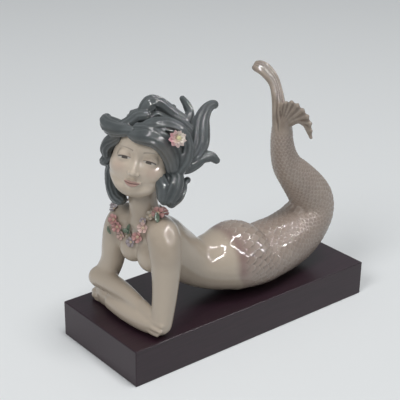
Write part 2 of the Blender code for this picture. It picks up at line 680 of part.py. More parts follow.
def outer_skin(mesh):
    """Keep only the largest connected surface, so no shell is left inside the casting."""
    bm = bmesh.new()
    bm.from_mesh(mesh)
    bm.verts.ensure_lookup_table()
    seen = set()
    islands = []
    for vert in bm.verts:
        if vert.index in seen:
            continue
        seen.add(vert.index)
        island = [vert]
        for member in island:
            for edge in member.link_edges:
                other = edge.other_vert(member)
                if other.index not in seen:
                    seen.add(other.index)
                    island.append(other)
        islands.append(island)
    islands.sort(key=len)
    for island in islands[:-1]:
        bmesh.ops.delete(bm, geom=island, context="VERTS")
    bm.to_mesh(mesh)
    bm.free()


def decimated(name, mesh, triangles):
    obj = bpy.data.objects.new(name, mesh)
    bpy.context.scene.collection.objects.link(obj)
    mesh.calc_loop_triangles()
    thin = obj.modifiers.new("fewer faces", "DECIMATE")
    thin.ratio = triangles / len(mesh.loop_triangles)
    graph = bpy.context.evaluated_depsgraph_get()
    result = bpy.data.meshes.new_from_object(obj.evaluated_get(graph))
    bpy.data.objects.remove(obj)
    return result


def colour(obj, rgb, roughness, glaze):
    material = bpy.data.materials.new(obj.name)
    material.use_nodes = True
    shader = material.node_tree.nodes["Principled BSDF"]
    shader.inputs["Base Color"].default_value = (*rgb, 1)
    shader.inputs["Roughness"].default_value = roughness
    shader.inputs["Coat Weight"].default_value = glaze
    obj.data.materials.clear()
    obj.data.materials.append(material)


def put(name, mesh, collection, rgb, roughness, glaze):
    obj = bpy.data.objects.new(name, mesh)
    collection.objects.link(obj)
    for face in mesh.polygons:
        face.use_smooth = True
    colour(obj, rgb, roughness, glaze)
    return obj


def block(name, collection, low, high):
    """A box between two corners given in millimetres over the plinth's top."""
    bpy.ops.mesh.primitive_cube_add(size=1)
    obj = bpy.context.object
    obj.name = name
    for owner in list(obj.users_collection):
        owner.objects.unlink(obj)
    collection.objects.link(obj)
    low, high = np.array(low, float), np.array(high, float)
    obj.data.transform(Matrix.Diagonal((*((high - low) * MM), 1)))
    obj.data.transform(Matrix.Translation(Vector(((low + high) / 2 + (0, 0, PLINTH_HEIGHT)) * MM)))
    return obj


def main():
    reset_scene()
    parts = bpy.data.collections.new("mermaid_figurine")
    cutters = bpy.data.collections.new("cutters")
    for collection in (parts, cutters):
        bpy.context.scene.collection.children.link(collection)

    half_l, half_w = PLINTH_LENGTH / 2, PLINTH_WIDTH / 2
    plinth = block("plinth", parts, (-half_l, -half_w, -PLINTH_HEIGHT), (half_l, half_w, 0))
    edge = plinth.modifiers.new("eased edges", "BEVEL")
    edge.width = PLINTH_EDGE_ROUND * MM
    edge.segments = 2
    colour(plinth, PLINTH_COLOUR, PLINTH_ROUGHNESS, 0)

    pieces = [body_core(), head_core()] + face_details() + hands() + fluke() + hair()
    mesh = fused("mermaid", pieces, CAST_SOFT_ROUNDS)
    outer_skin(mesh)
    mesh = decimated("mermaid", mesh, CAST_FACE_COUNT)
    mermaid = put("mermaid", mesh, parts, PORCELAIN_COLOUR, PORCELAIN_ROUGHNESS, 1)
    reach = PLINTH_LENGTH + FIGURE_HEIGHT
    under = block("flat underside", cutters, (-reach, -reach, -PLINTH_HEIGHT), (reach, reach, SEAT_GAP))
    under.hide_render = True
    under.display_type = "WIRE"
    flat = mermaid.modifiers.new("flat underside", "BOOLEAN")
    flat.operation = "DIFFERENCE"
    flat.solver = "EXACT"
    flat.object = under

    standing = Standing(drawn_points(mesh), [tuple(f.vertices) for f in mesh.polygons])
    laid = [(entry, FRONT_START) for entry in GARLAND]
    laid += [(entry, BACK_START) for entry in BACK_GARLAND]
    for i, ((kind, place, normal, radius, spin), start) in enumerate(laid):
        points, faces = flower_mesh(FLOWER_PETALS, radius, *FLOWER_FORM)
        placed = standing.rest(points, faces, normal, place, spin, start)
        mesh = make_mesh("flower", placed, faces)
        rgb = FLOWER_COLOURS[kind]
        put(f"garland_flower_{i + 1:02d}", mesh, parts, rgb, PETAL_ROUGHNESS, PETAL_GLAZE)
    for i, (place, normal, length, spin) in enumerate(LEAVES):
        points, faces = leaf_mesh(length)
        placed = standing.rest(points, faces, normal, place, spin, FRONT_START)
        mesh = make_mesh("leaf", placed, faces)
        put(f"garland_leaf_{i + 1:02d}", mesh, parts, LEAF_COLOUR, PETAL_ROUGHNESS, PETAL_GLAZE)
    for name, petals, radius, form, rgb in HAIR_FLOWER:
        points, faces = flower_mesh(petals, radius, *form)
        placed = standing.rest(points, faces, HAIR_FLOWER_FACES, HAIR_FLOWER_PLACE, 0, HAIR_FLOWER_START)
        put(name, make_mesh(name, placed, faces), parts, rgb, PETAL_ROUGHNESS, PETAL_GLAZE)


main()
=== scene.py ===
import math

import bmesh
import bpy
import numpy as np
from mathutils import Matrix, Vector
from mathutils.kdtree import KDTree


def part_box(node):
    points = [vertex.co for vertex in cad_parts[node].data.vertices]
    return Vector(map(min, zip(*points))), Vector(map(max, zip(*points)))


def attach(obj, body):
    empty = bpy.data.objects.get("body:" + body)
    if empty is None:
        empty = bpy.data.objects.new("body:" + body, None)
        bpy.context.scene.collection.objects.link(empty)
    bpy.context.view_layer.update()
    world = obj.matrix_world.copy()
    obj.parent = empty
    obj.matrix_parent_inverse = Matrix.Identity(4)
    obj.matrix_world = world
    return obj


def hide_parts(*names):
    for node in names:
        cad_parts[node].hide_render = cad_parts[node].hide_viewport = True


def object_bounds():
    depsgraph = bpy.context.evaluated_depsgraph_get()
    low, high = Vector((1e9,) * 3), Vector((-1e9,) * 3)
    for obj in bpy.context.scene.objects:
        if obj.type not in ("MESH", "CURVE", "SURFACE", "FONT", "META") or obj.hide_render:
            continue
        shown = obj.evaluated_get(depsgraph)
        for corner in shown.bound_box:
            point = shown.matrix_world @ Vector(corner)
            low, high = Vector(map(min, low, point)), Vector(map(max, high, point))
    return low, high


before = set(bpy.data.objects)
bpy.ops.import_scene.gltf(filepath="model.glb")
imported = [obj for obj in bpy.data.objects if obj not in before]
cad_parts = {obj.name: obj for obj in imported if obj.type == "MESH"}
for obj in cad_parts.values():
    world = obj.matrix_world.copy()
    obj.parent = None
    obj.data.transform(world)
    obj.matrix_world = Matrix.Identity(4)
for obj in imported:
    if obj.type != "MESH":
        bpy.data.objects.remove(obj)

# Points of the figure are in millimetres, measured from the centre of the plinth's top face.
MM = 0.001
first_bounds = [list(corner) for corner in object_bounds()]
PLINTH_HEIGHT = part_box("plinth")[1][2] / MM
# The figure's underside is open below this height, where it lies on the plinth.
SEAT_GAP = 0.3
# How far inside the CAD's bounding box the figure's points stay
BOX_MARGIN = 0.02

# Voxel grains of the modelled skins, and how long their corners are softened
SKIN_GRAIN = 0.8
HAIR_GRAIN = 0.62
CORE_SOFTENING = 56
SKIN_SOFTENING = 6
HAIR_SOFTENING = 3
HEAD_SOFTENING = 21

# Ends of a tube: how far they reach out, in smallest half widths, and the turns of their rings
CAP_REACH = 0.9
CAP_ANGLES = (72, 50, 25)

# Trunk and tail, from the top of the chest to the fluke's root:
# x, y, z, half width across her, half depth through her
TRUNK = [
    (-96, -8, 94, 20, 12),
    (-89, -8, 84, 29, 19),
    (-79, -8, 71, 30, 24),
    (-62, -9, 55, 26, 23),
    (-43, -11, 39, 23, 22),
    (-22, -14, 34, 27, 27.5),
    (2, -17, 34, 33, 33.5),
    (25, -17, 26.5, 33, 27.5),
    (45, -16.5, 27, 30, 28.5),
    (65, -16, 28.5, 27, 29),
    (83, -15, 33, 25, 29),
    (95, -15, 41, 24, 27),
    (104, -15, 52, 22.5, 24.5),
    (104.5, -15, 65, 21.5, 21.5),
    (96, -15, 78, 20, 20),
    (83, -15, 93, 17.5, 17.5),
    (70.5, -15, 107, 14.6, 14.6),
    (64, -15, 121, 12.4, 12.4),
    (61, -15, 135, 11, 10.8),
    (60.5, -15, 147, 11, 9),
    (60, -14, 158, 12, 5),
]

# Chest: centre, radii
CHEST = [((-98, 2, 67), (13.5, 13, 15.5)), ((-95, -20.5, 65), (14, 13.5, 16))]

# Neck and arms: x, y, z, radius
NECK = [(-88, -8, 86, 18), (-93, -8, 100, 14), (-95, -7, 116, 12.6), (-92, -5, 134, 13)]
LEFT_UPPER_ARM = [(-88, -22, 88, 14), (-94, -35, 88, 15), (-98, -43, 78, 14.3),
                  (-98.5, -45, 60, 12.8), (-101, -46, 35, 11), (-105, -46.3, 10, 9.8)]
LEFT_FOREARM = [(-105, -46.3, 10, 9.8), (-110, -32, 9.5, 10.5), (-113, -8, 9.5, 10),
                (-114, 16, 9, 8)]
RIGHT_UPPER_ARM = [(-92, 4, 90, 13), (-98, 15, 89, 13.5), (-102, 21, 80, 12.8),
                   (-103, 26, 62, 11.6), (-102.5, 30, 44, 11), (-105.5, 35, 29, 11)]
RIGHT_FOREARM = [(-112.5, 39, 25, 10.2), (-111.5, 22, 25.5, 9.4), (-110.5, 2, 24.5, 8.2),
                 (-110, -14, 22.5, 7), (-110, -24, 20.5, 6.4)]

# Hands: palms with the way across them, and fingers: x, y, z, then half width and thickness
RIGHT_PALM = [(-110, -24, 20.5, 7.5, 5), (-111, -33, 17.5, 9, 4.6), (-112, -39, 15, 9, 4)]
LEFT_PALM = [(-114, 16, 9, 7, 5), (-114, 28, 8.5, 8.5, 4.6), (-113, 36, 8, 8.5, 4)]
RIGHT_PALM_SIDE = (0.25, -0.3, 0.9)
LEFT_PALM_SIDE = (0, 0.1, 1)
FINGER_RADIUS = 2.7
FINGER_TAPER = (1.0, 0.95, 0.8)
RIGHT_FINGERS = [
    [(-110, -36, 21), (-109.5, -44.5, 20.5), (-107.5, -52, 19)],
    [(-112, -37, 17), (-112, -46.5, 15.5), (-109.5, -54, 13.5)],
    [(-113.5, -36.5, 12.5), (-114, -45.5, 10.5), (-111, -53.5, 8.5)],
    [(-114, -35.5, 8.5), (-114.5, -43, 6), (-112, -50, 4)],
]
LEFT_FINGERS = [
    [(-113, 35, 14), (-112, 42, 12.5), (-110, 46, 8)],
    [(-114, 35, 10), (-114, 44, 8.5), (-112, 48.5, 5)],
    [(-115, 34, 6.5), (-115.5, 42, 5), (-113.5, 46, 3)],
    [(-114, 33, 3.5), (-115, 39, 3), (-113, 43, 2.5)],
]

# Head: place of its middle, its size, and how it turns, lifts and leans
HEAD_CENTRE = (-94.5, -5.5, 153.5)
HEAD_TURN = 43.0
HEAD_LIFT = 13.0
HEAD_LEAN = 10.0

# Fluke: both lobes are fans of ribs that spring from its root. The near lobe's ribs end
# along its edge and arch over towards the tip; the far lobe's ribs run side by side. A row
# of the far lobe is the middle of its ribs, then the way from there to the lobe's side.
FLUKE_ROOT = (61, -15, 148)
NEAR_EDGE = [(59, -16.5, 171), (59, -21.5, 174), (60, -28.5, 176), (60.5, -36.5, 174),
             (61.5, -43.5, 169.5), (63, -48, 163), (63.5, -50, 155), (64, -50, 147.5)]
NEAR_RIBS = 9
NEAR_ARCH = 15.0
FAR_LOBE = [(60, -14, 150, 4.5, -3.6, 0), (57.8, -13.2, 164, 3.8, -2.2, 0),
            (59.5, -8, 177.5, 4.9, 1.0, 0.5), (62.8, 1.5, 189, 6.4, 4.2, 0.9),
            (61.4, 11.3, 197, 7.2, 5.0, 1.0), (57.4, 17.3, 200.5, 6.2, 4.4, 0.8),
            (55.4, 19.0, 200.9, 4.0, 2.9, 0.5)]
FAR_RIBS = 6
# The near lobe's last ribs are thinner by the taper, and the ribs between its folds have a
# share of the radius. Its rim lies a little inside the edge.
RIB_RADIUS = 2.8
RIB_TAPER = 0.3
WEB_SHARE = 0.75
RIM_INSET = 0.02
# Furrows of both lobes: their depth, and how many the far lobe has
FIN_RELIEF = 1.1
FAR_FOLDS = 3

# Locks of hair: x, y, z, half width, half thickness. The first word says which way the
# lock's broad face looks: out from the head, or to the side she is seen from.
LOCKS = {
    "crest": ("side", [
        (-90, -1.5, 180.5, 5, 4.5), (-85, 4, 187, 6.5, 6), (-77, 5.5, 193.5, 8, 7),
        (-69, 4, 191.5, 7.5, 6.5), (-61.5, 0.5, 185.5, 7, 6.5), (-55, -3, 179, 7, 6),
        (-48, -6, 175, 6.5, 6), (-41, -3.5, 179.5, 4.5, 4.5), (-40, 2, 186, 4, 4),
        (-40.5, 7.5, 190.5, 3, 3)]),
    "swirl": ("side", [
        (-84, 2, 182, 7, 6), (-72, 4, 183.5, 8, 7), (-62.5, -0.5, 179, 8, 7), (-56, -6, 174, 8, 7),
        (-51, -13, 168.5, 7, 6)]),
    "wave": ("out", [
        (-101.5, -13, 179.5, 6, 4), (-94, -17, 183.5, 8, 5), (-85, -21.5, 184.5, 8.5, 5.5),
        (-75.5, -25.5, 181, 8.5, 6), (-67, -28, 173, 8.5, 6), (-65.5, -30, 162, 8.5, 6.5),
        (-69.5, -32.5, 152, 9, 7), (-76, -32, 143.5, 8, 6)]),
    "plume": ("side", [
        (-65.5, -27, 153, 9, 8), (-56.5, -28, 154, 9, 7.5), (-48, -25.5, 160.5, 9, 6.5),
        (-42, -20, 168.5, 8.5, 6), (-36, -14.5, 177, 7, 5), (-29, -11.5, 183, 5.5, 5),
        (-23.5, -11.5, 186, 4.5, 4.5), (-19.5, -11.5, 186, 4, 4)]),
    "flick": ("side", [
        (-73.5, -26, 147.5, 9, 7.5), (-64.5, -29, 145.5, 8.5, 7.5), (-55.5, -30, 147, 7.5, 6),
        (-48.5, -31.5, 149.5, 6, 5.5), (-41.5, -34.5, 149, 5, 4.5), (-37.5, -37, 145.5, 3.5, 3.5)]),
    "curl": ("side", [
        (-86.5, -35, 118.5, 6, 5), (-79, -36, 121.5, 5, 5), (-72, -34, 125.5, 3.5, 3.5),
        (-68.5, -31.5, 130.5, 3, 3), (-64.5, -31, 132, 3, 3)]),
    "fringe": ("out", [
        (-110.5, -12.5, 178, 4, 3), (-108, -19, 178, 7, 4.5), (-103.5, -24, 178, 8.5, 5.5),
        (-97, -28, 175, 8.5, 6), (-90.5, -30.5, 168, 8, 6), (-85, -31.5, 158, 7.5, 6),
        (-82.5, -32.5, 148, 7, 5.5)]),
    "under": ("out", [
        (-103, -11, 181, 7, 5), (-97.5, -19, 180.5, 8, 6), (-89, -24.5, 175.5, 9, 7),
        (-81, -27.5, 166, 9, 7), (-78, -30.5, 155.5, 9, 7), (-78.5, -31, 146.5, 8, 6)]),
    "nape": ("out", [
        (-79.5, -28, 145.5, 8, 7), (-79, -32, 138.5, 9, 8), (-83, -34, 130, 11, 9),
        (-87, -34.5, 123, 9, 8)]),
    "nape2": ("out", [
        (-91, -27, 141, 7, 6), (-90.5, -31.5, 133, 8, 7), (-90.5, -33, 125.5, 8, 7),
        (-89.5, -33.5, 121.5, 7, 6)]),
    "left1": ("out", [
        (-108.5, -10, 180, 5, 4), (-112, -4.5, 180, 7, 5), (-114, 3.5, 179, 7.5, 5.5),
        (-115, 13, 179.5, 7, 5.5), (-113.5, 20.5, 182, 5.5, 5), (-109.5, 23.5, 183, 4, 4)]),
    "left2": ("out", [
        (-88.5, -2.5, 187, 7, 6), (-95, 1.5, 186, 7.5, 6), (-102.5, 3, 182, 7, 5.5),
        (-108.5, 6.5, 179.5, 7, 5.5), (-110, 15, 180, 6.5, 5.5), (-110, 22.5, 180.5, 5, 5)]),
    "left3": ("out", [
        (-113, 3, 172, 6, 5), (-115, 10.5, 166.5, 7, 6), (-117, 14, 160, 6.5, 6),
        (-117, 14, 155, 5, 5)]),
    "left4": ("out", [
        (-112, 13.5, 152, 6, 5), (-115.5, 17, 148.5, 5.5, 5), (-116.5, 19.5, 146, 4.5, 4.5)]),
    "left5": ("out", [
        (-110.5, 15, 142, 7, 6), (-112.5, 16, 136, 5.5, 5), (-113.5, 13, 128.5, 6, 6),
        (-115.5, 8, 122.5, 6, 6), (-116, 3, 117.5, 6, 5.5), (-114.5, 0.5, 115.5, 5, 5)]),
    "left6": ("out", [
        (-106, 16.5, 136, 8, 7), (-108, 12.5, 125.5, 8, 7), (-110.5, 7.5, 118.5, 8, 7),
        (-111, 3, 114.5, 6, 6)]),
    "far1": ("out", [
        (-90, 8, 184, 9, 7), (-72, 22, 178, 10, 7), (-55, 28, 170, 8, 6), (-42, 29, 171, 5, 4.5),
        (-36, 27, 176, 3.5, 3.5)]),
    "far2": ("out", [
        (-86, 20, 172, 9, 7), (-72, 32, 160, 9, 7), (-58, 36, 150, 7, 6), (-47, 38, 150, 4.5, 4.5)]),
    "far3": ("out", [
        (-98, 22, 164, 9, 7), (-92, 32, 148, 9, 7), (-84, 34, 134, 8, 7), (-80, 28, 121, 6, 6)]),
    "back1": ("out", [
        (-62, -4, 172, 10, 7), (-54, 0, 156, 10, 7), (-54, 2, 140, 9, 7), (-58, 0, 127, 7, 6),
        (-56, -4, 118, 4.5, 4.5)]),
    "back2": ("out", [
        (-62, 14, 168, 10, 7), (-56, 20, 152, 9, 7), (-60, 22, 136, 8, 7), (-68, 18, 123, 6, 6)]),
}
SIDE_FACING = (-0.55, -0.75, 0.35)
# The mass of hair under the locks in head space: centre, radii
HAIR_MASS = [((0, -8, 7), (28.5, 26.5, 26.5)), ((0, -19, -12), (23, 14, 20)),
             ((-2, -17, -30), (19, 12, 12))]

# Flutes of the hair locks: how many round each lock, how deep, how far they twist
HAIR_FLUTES = 9
HAIR_FLUTE_DEPTH = 0.2
HAIR_TWIST = 1.6

# Skull, face, jaw and cheeks in head space: centre, radii
HEAD_SHAPES = [
    ((0, -5, 6), (26, 27, 25)),
    ((0, 3, -4), (24.5, 21, 27)),
    ((0, 12, -23.5), (10, 9.5, 8.5)),
    ((0, 9, 11), (20, 14, 14)),
    ((14, 6, -9), (11, 14, 12.5)),
    ((-14, 6, -9), (11, 14, 12.5)),
]
# Jaw: x, y, z, radius, from her right side to the middle
JAW = [(21, 0, -8, 5), (17.5, 5, -17, 6.5), (9.5, 11, -25, 7), (0, 13, -27, 7.5)]

# Soft swellings and hollows of the face in head space: x, z, spread in x, spread in z, height.
# Those off the middle are on both sides.
FACE_RELIEF = [
    (0, 9, 12, 5, 0.6),
    (9.5, 1, 6.5, 4.5, -3.6),
    (0, 0, 3.0, 7, 2.6),
    (0, -9, 3.6, 5, 4.6),
    (12, -9, 6, 6, 1.2),
    (0, -20, 8, 5.5, 2.0),
    (0, -25.2, 7, 1.8, -1.2),
    (0, -29, 6, 4, 1.4),
]
# The relief fades in between these Y of head space.
FACE_FROM = (6, 16)
# Eyeball: centre, radius. Nose: centre, radii
EYE = ((10.6, 15.6, 0.2), 7.4)
NOSE_SHAPES = [((0, 27.2, -11.2), (3.1, 3.4, 2.9)), ((3.5, 25, -12.2), (2.1, 2.7, 2.1)),
               ((-3.5, 25, -12.2), (2.1, 2.7, 2.1))]
# Lips from one corner to the middle, and the right ear: x, y, z, radius
UPPER_LIP = [(7.8, 21.6, -20.2, 0.7), (4.2, 23.6, -19.3, 1.3), (1.5, 24.5, -18.7, 1.6),
             (0, 24.5, -18.9, 1.5)]
LOWER_LIP = [(6.6, 21.8, -20.6, 0.7), (3.5, 23.4, -21.8, 1.5), (0, 24.0, -22.2, 1.8)]
EAR = [(23.5, -3, 3, 2), (24.5, -7, 4, 2.2), (24.5, -9, 0, 2.3), (23.5, -7, -5, 2.2),
       (22, -3, -9, 2.4), (21.5, -1, -7, 2)]

# Garland, with each flower and leaf in the place of its CAD node: kind, the way it faces,
# petal length and spin; for a leaf the way it faces, length and spin
GARLAND = [
    ("cream", (-0.5, -0.75, 0.5), 3.4, 0), ("cream", (-0.5, -0.6, 0.6), 4.4, 20),
    ("lilac", (-0.75, -0.4, 0.5), 3.4, 50), ("cream", (-0.85, -0.2, 0.5), 3.2, 10),
    ("lilac", (-0.9, -0.35, 0.2), 4.8, 30), ("blush", (-0.9, -0.3, 0.2), 4.4, 0),
    ("lilac", (-0.6, 0.1, 0.75), 4.2, 15), ("lilac", (-0.4, 0.4, 0.8), 4.4, 40),
    ("rose", (-0.45, -0.75, 0.45), 5.8, 10), ("blush", (-0.8, -0.5, 0.35), 5.2, 35),
    ("rose", (-0.9, -0.4, 0.2), 5.4, 0), ("rose", (-0.85, -0.45, 0.3), 5.0, 25),
    ("rose", (-0.85, -0.2, 0.45), 5.2, 50), ("rose", (0.1, -0.6, 0.8), 5.0, 10),
    ("cream", (0.5, 0, 0.85), 5.0, 40), ("lilac", (0.2, 0.5, 0.8), 5.0, 0),
    ("rose", (-0.1, 0.5, 0.85), 5.0, 30),
]
LEAVES = [
    ((-0.4, -0.6, 0.7), 9.0, 60), ((-0.9, 0.0, 0.4), 9.0, 10), ((-0.9, -0.2, 0.4), 8.0, -70),
    ((-0.9, 0.2, 0.2), 8.0, 40),
]
LEAF_WIDTH = 0.48
FLOWER_PETALS = 5
PETAL_WALL = 0.55
PETAL_GRID = 9
# Beads in the middle of the flowers: how flat they are, their rings and the points of a ring
BEAD_SQUASH = 0.8
BEAD_RINGS = 6
BEAD_SIDES = 10

# Hair flower: which way it faces, the petals, radius and turn of each of its rings, which of
# its sides is pink, and its heart
HAIR_FLOWER_FACES = (-0.3, -0.8, 0.5)
LILY_RINGS = {"outer": (9, 9.6, 0.0), "inner": (7, 6.6, 0.4)}
LILY_PINK_SIDE = (-0.8, 0.6, 0)
HEART_RADIUS = 2.4
HEART_BEADS = 12

# Scales: where the first row starts along the trunk, their width there and at the fluke,
# the share of the width from row to row, and how far their free edges stand up
SCALE_START = 88.0
SCALE_SIZES = (8.0, 3.8)
SCALE_PITCH = 0.66
SCALE_RELIEFS = (2.3, 1.3)

# Where the tail's colour starts: angle round the trunk from its top, length along it
ONSET = [(0, 99), (0.5, 106), (1.0, 108), (1.5, 106), (1.85, 110), (2.3, 119), (3.15, 126)]

# Painted light: the skin is painted paler, as if more lit, from the shoulders back, between these X, and
# on the forearms, by Z.
PAINTED_LIGHT_BACK = (-75, -45)
PAINTED_LIGHT_FOREARMS = (62, 78)

# Colours: two mottled tones of skin, the paler tone of its painted light, and the inner and outer colour
# of petals
SKIN_TONES = ((0.382, 0.318, 0.252), (0.415, 0.348, 0.276))
PAINTED_LIGHT_TONE = (0.475, 0.4, 0.32)
PETAL_COLOURS = {
    "rose": ((0.5, 0.24, 0.225), (0.62, 0.37, 0.345)),
    "blush": ((0.55, 0.36, 0.32), (0.63, 0.47, 0.42)),
    "lilac": ((0.36, 0.31, 0.33), (0.46, 0.4, 0.41)),
    "cream": ((0.44, 0.39, 0.31), (0.56, 0.5, 0.43)),
}

# The glaze: height of its waves in millimetres, and its roughness
GLAZE_WAVES = 0.15
GLAZE_ROUGHNESS = 0.018

# Eyes and brows in head space: distance from the middle, half width, the level of both lids'
# corners, the iris, and the brows' height
EYE_SPACING = 10.6
EYE_HALF = 5.4
EYE_TOP = -0.4
EYE_LOW = -1.0
IRIS_RADIUS = 2.6
BROW_HEIGHT = 6.2

# The tail's looks start between these X, and the fluke's between these Z.
TAIL_FROM = (-20, -10)
FIN_FROM = (140, 152)

# Where the head ends at the neck and behind the ears, and where the trunk's pieces meet. The
# front of the head is made finer than the skull behind it.
NECK_CUT = (-94, -8, 103)
NECK_AXIS = (-0.12, 0.05, 1)
HEAD_SIDE_X = -50.0
BACK_OF_HEAD = -4.0
WAIST_X = -28.0
HIP_TOP = 62.0

# Camera: azimuth, elevation and roll in degrees, then its target, distance and lens
CAMERA_ANGLES = (-39.3128, 23.6156, 0.8047)
CAMERA_TARGET = (-0.02507, 0, 0.12685)
CAMERA_DISTANCE = 0.97576
CAMERA_LENS = 95.67
CAMERA_SENSOR = 36.0

# Studio: the world has one level as a light and another as the glaze mirrors it.
FLOOR_HALF = 8.0
FLOOR_COLOUR = (0.79, 0.808, 0.815)
WORLD_COLOUR = (0.93, 0.97, 1.0)
WORLD_LEVEL = 0.2
MIRRORED_LEVEL = 0.4
# Lamps: name, place, width in metres, power in watts
LAMPS = [
    ("key", (0.2, -0.75, 3.5), 1.4, 66.0),
    ("side_key", (-2.9, -0.9, 2.7), 1.6, 58.0),
]

# The point that all lamps are aimed at
LAMP_AIM = (0, 0, 0.1)

# A square loop of thin strip lamps, which the glaze mirrors as fine outlines:
# its middle, the length and width of a strip in metres, and a strip's power in watts
LOOP_MIDDLE = (0.34, -0.66, 1.04)
LOOP_SIDE = 1.15
LOOP_WIDTH = 0.012
LOOP_POWER = 8.0


def smooth_rows(rows, steps):
    """Rows of numbers joined by a Catmull-Rom spline, with that many steps to each span."""
    p = np.array(rows, float)
    p = np.vstack([2 * p[0] - p[1], p, 2 * p[-1] - p[-2]])
    out = []
    for a, b, c, d in zip(p, p[1:], p[2:], p[3:]):
        for t in np.arange(steps) / steps:
            bend = (2 * a - 5 * b + 4 * c - d) * t * t + (3 * b - a - 3 * c + d) * t ** 3
            out.append(0.5 * (2 * b + (c - a) * t + bend))
    return np.array(out + [p[-2]])


def unit(v):
    return v / np.linalg.norm(v, axis=-1, keepdims=True)


def step(x, low, high):
    """0 below low, 1 above high, smooth between."""
    t = np.clip((x - low) / (high - low), 0, 1)
    return t * t * (3 - 2 * t)


def new_object(name, data):
    obj = bpy.data.objects.new(name, data)
    bpy.context.scene.collection.objects.link(obj)
    return obj


def modified(obj):
    """The mesh that an object's modifiers make. The object itself is removed."""
    graph = bpy.context.evaluated_depsgraph_get()
    result = bpy.data.meshes.new_from_object(obj.evaluated_get(graph))
    bpy.data.objects.remove(obj)
    return result


def nearest(places):
    """A function that gives the index of the nearest of these places to a point."""
    tree = KDTree(len(places))
    for i, place in enumerate(places):
        tree.insert(place, i)
    tree.balance()
    return lambda point: tree.find(point)[1]


def make_mesh(name, points, faces):
    """A mesh from points in millimetres over the plinth's top."""
    lifted = (np.array(points, float) + (0, 0, PLINTH_HEIGHT)) * MM
    mesh = bpy.data.meshes.new(name)
    mesh.from_pydata(lifted.tolist(), [], faces)
    return mesh


def read_points(mesh):
    """A mesh's points in millimetres over the plinth's top."""
    co = np.empty(len(mesh.vertices) * 3)
    mesh.vertices.foreach_get("co", co)
    return co.reshape(-1, 3) / MM - (0, 0, PLINTH_HEIGHT)


def write_points(mesh, points):
    mesh.vertices.foreach_set("co", ((points + (0, 0, PLINTH_HEIGHT)) * MM).ravel())
    mesh.update()


def read_normals(mesh):
    no = np.empty(len(mesh.vertices) * 3)
    mesh.vertices.foreach_get("normal", no)
    return no.reshape(-1, 3)


def loft(stations, side=None, facing=(0.3, 0.2, 0.9), about=None, sides=28, steps=5, twist=None):
    """A closed tube of elliptical sections. A station is x, y, z, half width and half
    thickness, or x, y, z and one radius. The way across it is side, or it is at right angles
    to facing or to the way out from about. With a twist, flutes are cut along its length."""
    rows = [s if len(s) == 5 else (*s, s[3]) for s in stations]
    rows = smooth_rows(rows, steps)
    centre, half = rows[:, :3], np.maximum(rows[:, 3:], 0.05)
    tangent = unit(np.gradient(centre, axis=0))
    if side is not None:
        across = np.tile(np.array(side, float), (len(rows), 1))
    elif about is not None:
        across = np.cross(tangent, centre - np.array(about))
    else:
        across = np.cross(tangent, np.array(facing, float))
    across -= tangent * np.sum(across * tangent, axis=1)[:, None]
    across = unit(across)
    through = np.cross(tangent, across)
    turn = np.arange(sides) * 2 * math.pi / sides
    caps, tips = [], []
    for i, way in ((0, -1), (-1, 1)):
        out = way * tangent[i] * half[i].min() * CAP_REACH
        lead = [(math.sin(a), math.cos(a)) for a in np.radians(CAP_ANGLES)]
        caps.append([(centre[i] + out * s, across[i], through[i], half[i] * c) for s, c in lead])
        tips.append(centre[i] + out)
    rings = caps[0] + list(zip(centre, across, through, half)) + caps[1][::-1]
    points = []
    for i, (c, u, v, h) in enumerate(rings):
        along = i / (len(rings) - 1)
        wave = 1.0
        if twist is not None:
            uneven = 0.65 + 0.35 * np.sin(2 * turn + 3 * twist)
            groove = (0.5 - 0.5 * np.cos(turn * HAIR_FLUTES + twist * along)) ** 0.8
            wave = 1 - HAIR_FLUTE_DEPTH * uneven * groove
        flat = np.outer(np.cos(turn) * h[0] * wave, u)
        points.extend(c + flat + np.outer(np.sin(turn) * h[1] * wave, v))
    return make_mesh("tube", points + tips, tube_faces(len(rings), sides))


def tube_faces(rings, sides):
    """Faces of a tube of rings, closed at both ends by a point."""
    faces = []
    for i in range(rings - 1):
        for j in range(sides):
            k = (j + 1) % sides
            faces.append((i * sides + j, i * sides + k, (i + 1) * sides + k, (i + 1) * sides + j))
    for j in range(sides):
        k = (j + 1) % sides
        faces.append((rings * sides, k, j))
        faces.append((rings * sides + 1, (rings - 1) * sides + j, (rings - 1) * sides + k))
    return faces


def ball(centre, radii, turn=Matrix()):
    """An ellipsoid, with its centre and radii in millimetres."""
    mesh = bpy.data.meshes.new("ball")
    bm = bmesh.new()
    where = Matrix.Translation(Vector(centre)) @ turn @ Matrix.Diagonal((*radii, 1))
    bmesh.ops.create_uvsphere(bm, u_segments=48, v_segments=32, radius=1, matrix=where)
    bmesh.ops.translate(bm, verts=bm.verts, vec=(0, 0, PLINTH_HEIGHT))
    bmesh.ops.scale(bm, verts=bm.verts, vec=(MM, MM, MM))
    bm.to_mesh(mesh)
    bm.free()
    return mesh


def fused(meshes, grain, softening):
    """One skin over all these overlapping meshes, with its inner corners softened."""
    bm = bmesh.new()
    for mesh in meshes:
        bm.from_mesh(mesh)
        bpy.data.meshes.remove(mesh)
    mesh = bpy.data.meshes.new("fused")
    bm.to_mesh(mesh)
    bm.free()
    obj = new_object("fused", mesh)
    remesh = obj.modifiers.new("union", "REMESH")
    remesh.mode = "VOXEL"
    remesh.voxel_size = grain * MM
    soften = obj.modifiers.new("soften", "SMOOTH")
    soften.factor = 0.5
    soften.iterations = softening
    return modified(obj)


def head_frame():
    """Head space: +X to her right, +Y the way she looks, +Z to her crown, in millimetres."""
    turn = Matrix.Rotation(math.radians(90 + HEAD_TURN), 4, "Z")
    lift = Matrix.Rotation(math.radians(HEAD_LIFT), 4, "X")
    lean = Matrix.Rotation(math.radians(-HEAD_LEAN), 4, "Y")
    return Matrix.Translation(Vector(HEAD_CENTRE)) @ turn @ lift @ lean


